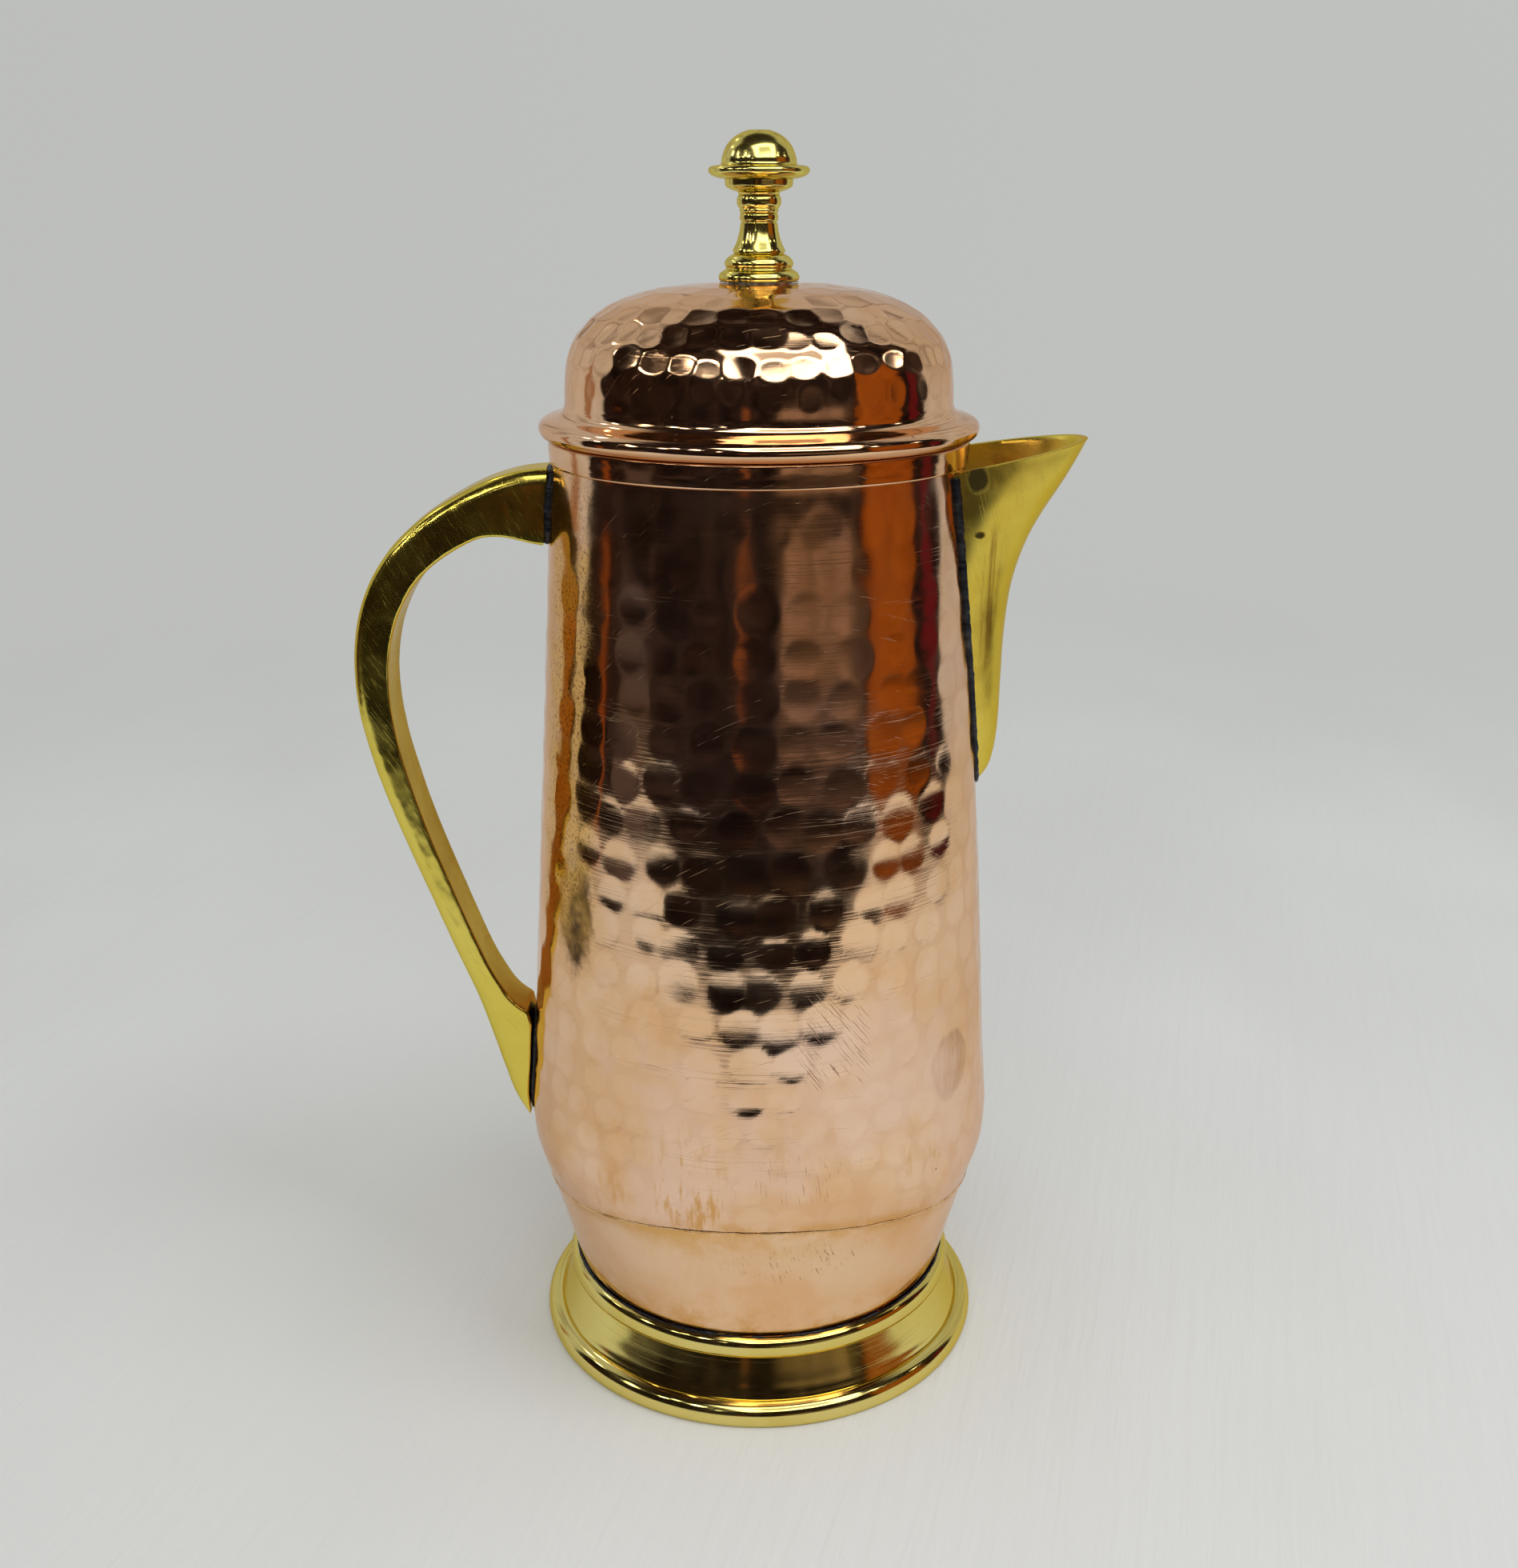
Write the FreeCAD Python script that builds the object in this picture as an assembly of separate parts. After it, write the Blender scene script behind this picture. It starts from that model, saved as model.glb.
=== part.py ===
import FreeCAD, Part
import math
import os

# ---------------------------------------------------------------------------
# Copper water jug: hammered copper vessel on a spun brass foot, cast brass
# handle, folded brass spout, and a lift-off domed copper lid with a turned
# brass finial.
# Units are millimetres. +Z is up, the jug stands on z = 0 and its turning axis
# is the Z axis. The handle is on -X and the spout on +X.
# ---------------------------------------------------------------------------

V = FreeCAD.Vector
os.makedirs("parts", exist_ok=True)

# ---- driving dimensions ---------------------------------------------------
total_height = 305.0        # table to the top of the finial
wall = 1.2                  # copper sheet of the vessel
lid_sheet = 1.0             # copper sheet of the lid
foot_sheet = 1.3            # brass sheet of the foot
foot_outer_r = 58.1
foot_rest_r_in = 54.4       # resting hem of the foot
foot_rest_r_out = 56.9
foot_top_z = 20.7           # where copper meets the foot
cup_collar_r = 49.0         # straight heel of the cup inside the foot's collar
cup_floor_z = 13.8          # underside of the vessel's floor
seam_mid_z = 51.7           # brazed seam between cup and body: it rises at front
seam_wave = 5.3             # and back and dips at the handle and the spout
seam_ref_r = 58.0
seam_half_h = 0.9
mouth_z = 236.1             # top edge of the body's sheet
mouth_r = 49.0              # outer radius of the body's sheet at the mouth
band_bottom_z = 231.5
band_top_z = 237.1
band_r = 49.85
lid_bottom_z = 237.3
sleeve_r_out = 47.2
sleeve_r_in = 46.3
sleeve_bottom_z = 229.0
lid_top_z = 271.8
spout_wall = 1.6
spout_axis_x = 40.0         # centre of the spout's elliptical sections
rim_z_at_50 = 231.9         # the spout's rim is a plane that rises to the lip
rim_slope = 0.175
handle_half_w_top = 8.0     # half width of the handle across, at its top
handle_half_w_bottom = 6.8
screw_r = 2.0

# outer profile of the vessel, (radius, height), from the foot joint upwards
vessel_profile = [
    (49.0, 20.7), (49.85, 24.0), (50.95, 28.0), (52.6, 34.0), (54.25, 40.0),
    (55.95, 46.0), (57.2, 50.0), (58.25, 53.0), (59.1, 56.0), (59.68, 59.0),
    (59.98, 62.0), (60.0, 65.0), (59.75, 69.0), (59.25, 75.0), (58.62, 84.0),
    (57.98, 95.0), (57.12, 110.0), (55.88, 130.0), (54.52, 150.0),
    (53.25, 170.0), (52.02, 190.0), (50.78, 210.0), (49.98, 222.0),
    (49.5, 227.0), (49.08, 231.0), (49.0, 233.5), (mouth_r, mouth_z),
]


def vec(p):
    return V(p[0], 0.0, p[1])


def spline(points, closed=False):
    curve = Part.BSplineCurve()
    curve.interpolate([p if isinstance(p, V) else vec(p) for p in points], closed)
    return curve.toShape()


def line(a, b):
    return Part.makeLine(a if isinstance(a, V) else vec(a), b if isinstance(b, V) else vec(b))


def chain(*runs):
    """Closed wire from runs: a run ("L", points) is straight lines and a run
    ("S", points) is one smooth curve. Each run starts where the last ended."""
    edges = []
    first = None
    last = None
    for kind, pts in runs:
        pts = [vec(p) if not isinstance(p, V) else p for p in pts]
        if first is None:
            first = pts[0]
        if last is not None and last.distanceToPoint(pts[0]) > 1e-7:
            pts = [last] + pts if kind == "L" else pts
        if kind == "L":
            for a, b in zip(pts, pts[1:]):
                if a.distanceToPoint(b) > 1e-7:
                    edges.append(line(a, b))
        else:
            if last is not None and last.distanceToPoint(pts[0]) > 1e-7:
                edges.append(line(last, pts[0]))
            edges.append(spline(pts))
        last = pts[-1]
    if last.distanceToPoint(first) > 1e-7:
        edges.append(line(last, first))
    return Part.Wire(edges)


def turn(wire):
    solid = Part.Face(wire).revolve(V(0, 0, 0), V(0, 0, 1), 360)
    return tidy(solid)


def tidy(shape):
    if shape.ShapeType != "Solid":
        solids = shape.Solids
        if len(solids) == 1:
            shape = solids[0]
    if shape.ShapeType == "Solid" and shape.Volume < 0:
        shape.reverse()
    return shape


def biggest(shape):
    return max(shape.Solids, key=lambda s: s.Volume)


def offset_profile(points, distance):
    """Points moved by distance along the profile's left-hand normal, which
    points towards the axis when the profile runs upwards."""
    curve = Part.BSplineCurve()
    curve.interpolate([vec(p) for p in points])
    out = []
    for p in points:
        u = curve.parameter(vec(p))
        t = curve.tangent(u)[0]
        n = V(-t.z, 0, t.x)
        n.normalize()
        q = vec(p) + n * distance
        out.append((q.x, q.z))
    return out


parts = {}

# ---- vessel: one skin, split along the brazed seam ------------------------
inner = offset_profile(vessel_profile, wall)
inner[0] = (cup_collar_r - wall, foot_top_z + 0.2)
inner[-1] = (mouth_r - wall, mouth_z)
heel_r = 3.4
vessel_wire = chain(
    ("L", [(0, cup_floor_z), (cup_collar_r - heel_r, cup_floor_z)]),
    ("S", [(cup_collar_r - heel_r, cup_floor_z),
           (cup_collar_r - heel_r * 0.2929, cup_floor_z + heel_r * 0.2929),
           (cup_collar_r, cup_floor_z + heel_r)]),
    ("L", [(cup_collar_r, cup_floor_z + heel_r), (cup_collar_r, foot_top_z)]),
    ("S", vessel_profile),
    ("L", [(mouth_r, mouth_z), inner[-1]]),
    ("S", list(reversed(inner))),
    ("L", [inner[0], (cup_collar_r - wall, cup_floor_z + heel_r)]),
    ("S", [(cup_collar_r - wall, cup_floor_z + heel_r),
           (cup_collar_r - wall - 0.65, cup_floor_z + wall + 0.65),
           (cup_collar_r - heel_r, cup_floor_z + wall)]),
    ("L", [(cup_collar_r - heel_r, cup_floor_z + wall), (0, cup_floor_z + wall), (0, cup_floor_z)]),
)
vessel = turn(vessel_wire)

# everything inside the vessel's outer surface, used to trim what is soldered on
core_wire = chain(
    ("L", [(0, 5.0), (cup_collar_r, 5.0), (cup_collar_r, foot_top_z)]),
    ("S", vessel_profile),
    ("L", [(mouth_r, mouth_z), (mouth_r, 250.0), (0, 250.0), (0, 5.0)]),
)
core = turn(core_wire)


def core_grown(distance):
    grown = offset_profile(vessel_profile, -distance)
    grown[0] = (cup_collar_r + distance, foot_top_z)
    grown[-1] = (mouth_r + distance, mouth_z)
    return turn(chain(
        ("L", [(0, 5.0), (cup_collar_r + distance, 5.0), grown[0]]),
        ("S", grown),
        ("L", [grown[-1], (mouth_r + distance, 250.0), (0, 250.0), (0, 5.0)]),
    ))


def saddle(z0):
    half = 80.0
    k = seam_wave / seam_ref_r ** 2
    b = [half ** 2, -half ** 2, half ** 2]
    xs = [-half, 0.0, half]
    surf = Part.BezierSurface()
    surf.increase(2, 2)
    for i in range(3):
        for j in range(3):
            surf.setPole(i + 1, j + 1, V(xs[i], xs[j], z0 + k * (b[j] - b[i])))
    return surf.toShape()


braze_slab = saddle(seam_mid_z - seam_half_h).extrude(V(0, 0, 2 * seam_half_h))
braze_band = turn(chain(
    ("S", offset_profile(vessel_profile[3:14], 0.28)),
    ("S", list(reversed(offset_profile(vessel_profile[3:14], -0.22)))),
))
seam_braze = tidy(braze_band.common(braze_slab))
below = saddle(seam_mid_z).extrude(V(0, 0, -70.0))
trimmed = vessel.cut(seam_braze)
bottom_cup = tidy(trimmed.common(below))
body_shell = tidy(trimmed.cut(below))

# the window through which water reaches the spout, below the uncut mouth
window = [(13.5, 227.0), (12.6, 214.0), (11.4, 200.0), (9.2, 188.0), (6.4, 177.0),
          (3.2, 169.0), (0.0, 166.0)]
right = [V(30.0, y, z) for y, z in window]
left = [V(30.0, -y, z) for y, z in reversed(window[:-1])]
window_wire = Part.Wire([spline(right + left), Part.makeLine(left[-1], right[0])])
window_cut = Part.Face(window_wire).extrude(V(40.0, 0, 0))
body_shell = tidy(body_shell.cut(window_cut))
parts["body_shell"] = body_shell
parts["bottom_cup"] = bottom_cup
parts["seam_braze"] = seam_braze

# ---- mouth band: a plain hoop folded over the body's top edge ---------------
band_in = mouth_r + 0.1      # a hair of clearance: the hoop hangs on the top edge
parts["mouth_band"] = turn(chain(
    ("L", [(band_in, band_bottom_z)]),
    ("S", [(band_in, band_bottom_z), (mouth_r + 0.42, band_bottom_z + 0.12),
           (mouth_r + 0.62, band_bottom_z + 0.55), (mouth_r + 0.75, band_bottom_z + 1.6),
           (band_r, band_bottom_z + 3.2), (band_r, band_top_z - 1.0),
           (band_r - 0.28, band_top_z - 0.28), (band_r - 0.9, band_top_z)]),
    ("L", [(band_r - 0.9, band_top_z), (mouth_r - wall, band_top_z),
           (mouth_r - wall, mouth_z), (band_in, mouth_z), (band_in, band_bottom_z)]),
))

# ---- foot: spun sheet with a collar, a hollow cove and a rolled hem ---------
foot_outer = [(51.05, 15.95), (50.62, 15.3), (50.62, 13.6), (50.95, 11.4), (51.65, 9.2),
              (52.75, 7.3), (54.3, 6.0)]
foot_roll = [(54.3, 6.0), (55.5, 5.95), (56.8, 5.35), (57.75, 4.1), (foot_outer_r, 2.5),
             (57.85, 1.1), (57.4, 0.3), (foot_rest_r_out, 0.0)]
foot_lip = [(49.55, foot_top_z), (50.4, 20.25), (51.05, 19.2), (51.38, 17.8), (51.38, 16.7),
            (51.05, 15.95)]
foot_inner = [(49.0, 14.6), (49.3, 12.4), (49.75, 10.2), (50.6, 8.0), (51.8, 6.1),
              (53.3, 4.9), (54.6, 4.55), (55.7, 4.25), (56.4, 3.3), (56.55, 2.2), (56.1, 1.35),
              (55.3, 1.1)]
parts["foot_ring"] = turn(chain(
    ("L", [(cup_collar_r, foot_top_z - 0.4), foot_lip[0]]),
    ("S", foot_lip),
    ("S", foot_outer),
    ("S", foot_roll),
    ("L", [foot_roll[-1], (foot_rest_r_in, 0.0), (foot_rest_r_in, 1.1), foot_inner[-1]]),
    ("S", list(reversed(foot_inner))),
    ("L", [(49.0, 14.6), (cup_collar_r, foot_top_z - 0.4)]),
))

foot_bead = turn(chain(
    ("L", [(48.0, 20.0), (49.7, 20.0), (50.15, 20.35)]),
    ("S", [(50.15, 20.35), (50.1, 20.8), (49.8, 21.25), (49.45, 21.75), (49.15, 22.1)]),
    ("L", [(49.15, 22.1), (48.0, 22.1), (48.0, 20.0)]),
))
parts["foot_solder"] = tidy(foot_bead.cut(core).cut(parts["foot_ring"]))

# ---- spout: folded brass sheet, open on top --------------------------------
spout_levels = [  # height, keel x, half width of the section at the axis
    (145.0, 44.5, 3.4), (148.5, 50.8, 5.4), (151.4, 54.8, 7.6), (154.0, 57.0, 9.2),
    (158.0, 58.5, 11.1), (163.0, 59.25, 12.9), (170.0, 59.65, 14.7), (180.0, 59.75, 16.5),
    (190.0, 60.05, 18.0), (200.0, 61.0, 19.2), (207.0, 62.6, 19.9), (213.0, 64.75, 20.4),
    (219.0, 67.8, 20.8), (225.0, 71.6, 21.05), (231.0, 75.1, 21.2), (236.0, 77.6, 21.25),
    (241.0, 79.8, 21.3),
]


def spout_solid(inset, lift):
    wires = []
    for z, keel, half in spout_levels:
        a = keel - inset - spout_axis_x
        b = half - inset
        if a < 1.0 or b < 1.0:
            continue
        pts = []
        for i in range(17):
            th = math.pi * i / 16 - math.pi / 2
            pts.append(V(spout_axis_x + a * math.cos(th), b * math.sin(th), z + lift))
        wires.append(Part.Wire([spline(pts), Part.makeLine(pts[-1], pts[0])]))
    return tidy(Part.makeLoft(wires, True, False))


spout_out = spout_solid(0.0, 0.0)
spout_in = spout_solid(spout_wall, 1.0)
rim_a = V(20.0, 0, rim_z_at_50 + rim_slope * (20.0 - 50.0))
rim_b = V(100.0, 0, rim_z_at_50 + rim_slope * (100.0 - 50.0))
above = Part.Face(Part.makePolygon([
    rim_a + V(0, -40, 0), rim_b + V(0, -40, 0), rim_b + V(0, -40, 60), rim_a + V(0, -40, 60),
    rim_a + V(0, -40, 0)])).extrude(V(0, 80, 0))
spout = spout_out.cut(spout_in).cut(above).cut(core)
parts["spout"] = biggest(spout)
band_keepout = Part.makeCylinder(band_r + 0.01, 30.0, V(0, 0, band_bottom_z))
if parts["spout"].common(band_keepout).Volume > 0:
    parts["spout"] = biggest(parts["spout"].cut(band_keepout))

spout_bead = spout_solid(-1.6, -1.4).cut(spout_solid(0.0, 0.0)).cut(above).cut(core)
spout_bead = spout_bead.common(core_grown(1.7)).cut(parts["spout"]).cut(band_keepout)
parts["spout_solder"] = biggest(spout_bead)

# ---- handle: cast brass bar with a crowned back ----------------------------
handle_outer = [
    (-46.0, 229.9), (-51.0, 229.9), (-57.0, 229.25), (-64.0, 227.2), (-72.0, 223.4),
    (-79.8, 218.5), (-88.2, 210.9), (-93.6, 203.1), (-96.9, 195.1), (-98.6, 187.0),
    (-99.1, 179.0), (-98.7, 170.7), (-97.2, 162.4), (-95.1, 154.0), (-92.5, 145.5),
    (-89.4, 136.8), (-86.2, 128.1), (-82.9, 119.3), (-79.6, 110.3), (-76.1, 101.3),
    (-72.7, 92.1), (-69.9, 82.8), (-67.2, 73.4), (-63.9, 64.8), (-60.6, 59.9),
]
handle_inner = [
    (-46.0, 211.4), (-51.0, 211.8), (-56.0, 212.8), (-61.5, 213.9), (-66.0, 213.6),
    (-70.8, 211.6), (-77.6, 207.2), (-82.3, 202.6), (-85.3, 198.0), (-87.6, 193.0),
    (-89.3, 187.0), (-90.2, 180.5), (-90.3, 174.5), (-89.8, 168.0), (-88.8, 161.5),
    (-87.1, 154.0), (-84.9, 145.8), (-82.2, 137.0), (-79.2, 128.3), (-76.0, 119.4),
    (-72.7, 110.4), (-69.3, 102.0), (-66.3, 96.3), (-63.2, 92.0), (-60.0, 89.6),
    (-56.0, 88.6),
]
tip = (-60.6, 59.9)
hw = handle_half_w_top + 3.0
side_wire = chain(
    ("S", handle_outer),
    ("L", [tip, (-52.0, 59.4), (-52.0, 88.2), (-56.0, 88.6)]),
    ("S", list(reversed(handle_inner))),
    ("L", [(-46.0, 211.4), (-46.0, 229.9)]),
)
bar = Part.Face(side_wire)
bar.translate(V(0, -hw, 0))
bar = tidy(bar.extrude(V(0, 2 * hw, 0)))
z_lo, z_hi = 50.0, 240.0
slope_w = (handle_half_w_top - handle_half_w_bottom) / (229.0 - 60.0)
w_lo = handle_half_w_bottom - slope_w * 10.0
w_hi = handle_half_w_top + slope_w * 11.0
wedge = Part.Face(Part.makePolygon([
    V(-120, -w_lo, z_lo), V(-120, w_lo, z_lo), V(-120, w_hi, z_hi), V(-120, -w_hi, z_hi),
    V(-120, -w_lo, z_lo)])).extrude(V(90, 0, 0))
bar = tidy(bar.common(wedge))


def long_edges(shape, outer_curve, tol):
    found = []
    for e in shape.Edges:
        if e.Length < 60.0:
            continue
        mid = e.valueAt((e.FirstParameter + e.LastParameter) / 2.0)
        if abs(mid.y) < 3.0:
            continue
        probe = V(mid.x, 0, mid.z)
        d = outer_curve.distToShape(Part.Vertex(probe))[0]
        if d < tol:
            found.append(e)
    return found


outer_edge = spline(handle_outer)
inner_edge = spline(handle_inner)
made = False
for r_out in (3.4, 3.0, 2.6, 2.0):
    try:
        cand = bar.makeFillet(r_out, long_edges(bar, outer_edge, 0.05))
        if cand.isValid() and cand.Volume > 0:
            bar = tidy(cand)
            made = True
            break
    except Exception:
        continue
print("handle crown radius", r_out if made else "none")
made = False
for r_in in (0.7, 0.5, 0.3):
    try:
        cand = bar.makeFillet(r_in, long_edges(bar, inner_edge, 0.05))
        if cand.isValid() and cand.Volume > 0:
            bar = tidy(cand)
            made = True
            break
    except Exception:
        continue
print("handle inner edge radius", r_in if made else "none")

upper_zone = Part.makeBox(100, 60, 60, V(-100, -30, 195))
near_wall = core_grown(1.2)
near_wall_low = core_grown(0.6)
handle = bar.cut(near_wall.common(upper_zone)).cut(near_wall_low)
handle = biggest(handle)
parts["handle"] = handle

# solder round both handle joints
up = Part.makeBox(12.0, 17.2, 19.6, V(-57.0, -8.6, 211.0))
up = up.makeFillet(2.2, [e for e in up.Edges if abs(e.tangentAt(e.FirstParameter).x) > 0.9])
up_solder = up.common(core_grown(3.2)).cut(core).cut(handle)
parts["handle_upper_solder"] = biggest(up_solder)
low = Part.makeBox(14.0, 14.6, 30.6, V(-66.0, -7.3, 59.3))
low_solder = low.common(core_grown(0.95)).cut(core).cut(handle)
parts["handle_lower_solder"] = biggest(low_solder)

# ---- lid: domed sheet with a rolled flange ---------------------------------
lid_outer = [
    (50.3, lid_bottom_z), (51.15, 237.75), (51.8, 238.75), (51.95, 239.7), (51.5, 240.8),
    (50.3, 241.6), (48.8, 242.1), (47.2, 242.65), (46.1, 243.6), (45.72, 245.0),
    (45.62, 247.5), (45.45, 250.5), (44.95, 254.5), (43.6, 258.5), (41.2, 262.0),
    (38.0, 264.95), (33.8, 267.45), (28.2, 269.5), (21.0, 270.95), (14.0, 271.6),
    (10.0, lid_top_z),
]
lid_in = [
    (10.0, lid_top_z - lid_sheet), (13.9, 270.6), (20.8, 269.95), (27.8, 268.55),
    (33.3, 266.55), (37.35, 264.1), (40.45, 261.3), (42.7, 258.0), (43.98, 254.2),
    (44.45, 250.4), (44.62, 247.5), (44.7, 244.9), (45.2, 243.0), (46.7, 241.7),
    (48.5, 241.1), (49.9, 240.65), (50.7, 240.2), (50.95, 239.6), (50.8, 238.9), (50.3, 238.3),
]
screw_hole_r = screw_r + 0.15
parts["lid_dome"] = turn(chain(
    ("L", [(sleeve_r_out, lid_bottom_z), lid_outer[0]]),
    ("S", lid_outer),
    ("L", [lid_outer[-1], (screw_hole_r, lid_top_z), (screw_hole_r, lid_top_z - lid_sheet), lid_in[0]]),
    ("S", lid_in),
    ("L", [lid_in[-1], (sleeve_r_out, 238.3), (sleeve_r_out, lid_bottom_z)]),
))

# locating sleeve soldered to the lid's hem: it drops into the mouth
parts["lid_sleeve"] = turn(chain(
    ("L", [(sleeve_r_in, sleeve_bottom_z), (sleeve_r_out - 0.25, sleeve_bottom_z),
           (sleeve_r_out, sleeve_bottom_z + 0.4), (sleeve_r_out, 239.4), (sleeve_r_in, 239.4),
           (sleeve_r_in, sleeve_bottom_z)]),
))

# ---- finial and its fixing -------------------------------------------------
washer_h = 0.45
fin_z = lid_top_z + washer_h
finial_side = [
    [(8.7, fin_z), (9.15, 272.45), (9.38, 272.95), (9.28, 273.5), (8.75, 274.25), (7.85, 274.8)],
    [(7.85, 274.8), (7.6, 275.05), (7.75, 275.45)],
    [(7.75, 275.45), (7.95, 275.95), (7.88, 276.5), (7.35, 277.3), (6.5, 277.95), (5.72, 278.3)],
    [(5.72, 278.3), (5.78, 278.5), (6.08, 278.62)],
    [(6.08, 278.62), (6.02, 278.95), (5.4, 280.3), (4.8, 282.0), (4.45, 283.6), (4.3, 284.9)],
    [(4.3, 284.9), (4.08, 285.1), (4.08, 285.3), (4.28, 285.5)],
    [(4.28, 285.5), (4.42, 285.95), (4.42, 286.5), (4.3, 286.95), (4.12, 287.1)],
    [(4.12, 287.1), (4.4, 287.45), (4.5, 287.8), (4.4, 288.1)],
    [(4.4, 288.1), (4.85, 288.7), (5.08, 289.4), (5.08, 290.0), (4.9, 290.7), (4.62, 291.2)],
    [(4.62, 291.2), (4.75, 291.5), (5.6, 291.95), (6.7, 292.35), (7.3, 292.7)],
    [(7.3, 292.7), (7.62, 293.0), (7.78, 294.0), (7.82, 294.45)],
    [(7.82, 294.45), (9.2, 294.7), (10.6, 295.2), (11.4, 295.85), (11.58, 296.45), (11.3, 297.05),
     (10.4, 297.4), (8.9, 297.6)],
    [(8.9, 297.6), (8.62, 297.95), (8.55, 298.6), (8.3, 299.7), (7.7, 301.2), (6.6, 302.7),
     (5.2, 303.85), (3.7, 304.6), (2.5, total_height)],
]
finial_runs = [("L", [(screw_r, fin_z), (8.7, fin_z)])]
for seg in finial_side:
    finial_runs.append(("S", seg))
finial_runs.append(("L", [(2.5, total_height), (0, total_height), (0, 284.0), (screw_r, 282.6),
                          (screw_r, fin_z)]))
parts["finial"] = turn(chain(*finial_runs))
parts["finial_washer"] = turn(chain(
    ("L", [(screw_hole_r, lid_top_z), (9.1, lid_top_z), (9.1, fin_z), (screw_hole_r, fin_z),
           (screw_hole_r, lid_top_z)]),
))
under = lid_top_z - lid_sheet
parts["screw_washer"] = turn(chain(
    ("L", [(screw_hole_r, under - 0.8), (5.0, under - 0.8), (5.0, under), (screw_hole_r, under),
           (screw_hole_r, under - 0.8)]),
))
head_top = under - 0.8
screw = turn(chain(
    ("L", [(0, head_top - 2.2), (2.6, head_top - 2.2)]),
    ("S", [(2.6, head_top - 2.2), (3.4, head_top - 1.9), (3.9, head_top - 1.1), (4.0, head_top)]),
    ("L", [(4.0, head_top), (screw_r, head_top), (screw_r, 281.4), (screw_r - 0.6, 282.0), (0, 282.0),
           (0, head_top - 2.2)]),
))
slot = Part.makeBox(10, 1.0, 1.2, V(-5, -0.5, head_top - 2.4))
parts["finial_screw"] = tidy(screw.cut(slot))

# ---- write -----------------------------------------------------------------
for name, shape in parts.items():
    if shape.ShapeType != "Solid":
        print("NOTE", name, shape.ShapeType, len(shape.Solids))
    if not shape.isValid():
        print("INVALID", name)
    bb = shape.BoundBox
    print("%-20s vol %9.1f  x %.2f %.2f  y %.2f %.2f  z %.2f %.2f" % (
        name, shape.Volume, bb.XMin, bb.XMax, bb.YMin, bb.YMax, bb.ZMin, bb.ZMax))
    shape.exportStep("parts/%s.step" % name)
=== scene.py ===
import bpy, bmesh, math
import numpy as np
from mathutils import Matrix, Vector


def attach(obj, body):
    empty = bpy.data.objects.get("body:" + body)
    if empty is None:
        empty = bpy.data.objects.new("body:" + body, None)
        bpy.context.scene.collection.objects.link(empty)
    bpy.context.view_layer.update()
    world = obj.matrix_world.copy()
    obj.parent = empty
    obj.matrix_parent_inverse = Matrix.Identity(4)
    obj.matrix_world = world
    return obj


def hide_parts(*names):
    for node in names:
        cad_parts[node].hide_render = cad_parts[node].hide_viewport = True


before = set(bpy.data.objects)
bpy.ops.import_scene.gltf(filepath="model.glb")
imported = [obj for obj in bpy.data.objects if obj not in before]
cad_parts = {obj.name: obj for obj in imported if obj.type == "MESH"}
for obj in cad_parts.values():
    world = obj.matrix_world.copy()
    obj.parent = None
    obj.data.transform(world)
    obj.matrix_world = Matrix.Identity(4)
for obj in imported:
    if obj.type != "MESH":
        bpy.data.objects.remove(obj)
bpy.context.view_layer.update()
scene = bpy.context.scene
MM = 0.001
rng = np.random.default_rng(20)

# ---------------------------------------------------------------------------
# node helpers
# ---------------------------------------------------------------------------


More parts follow.
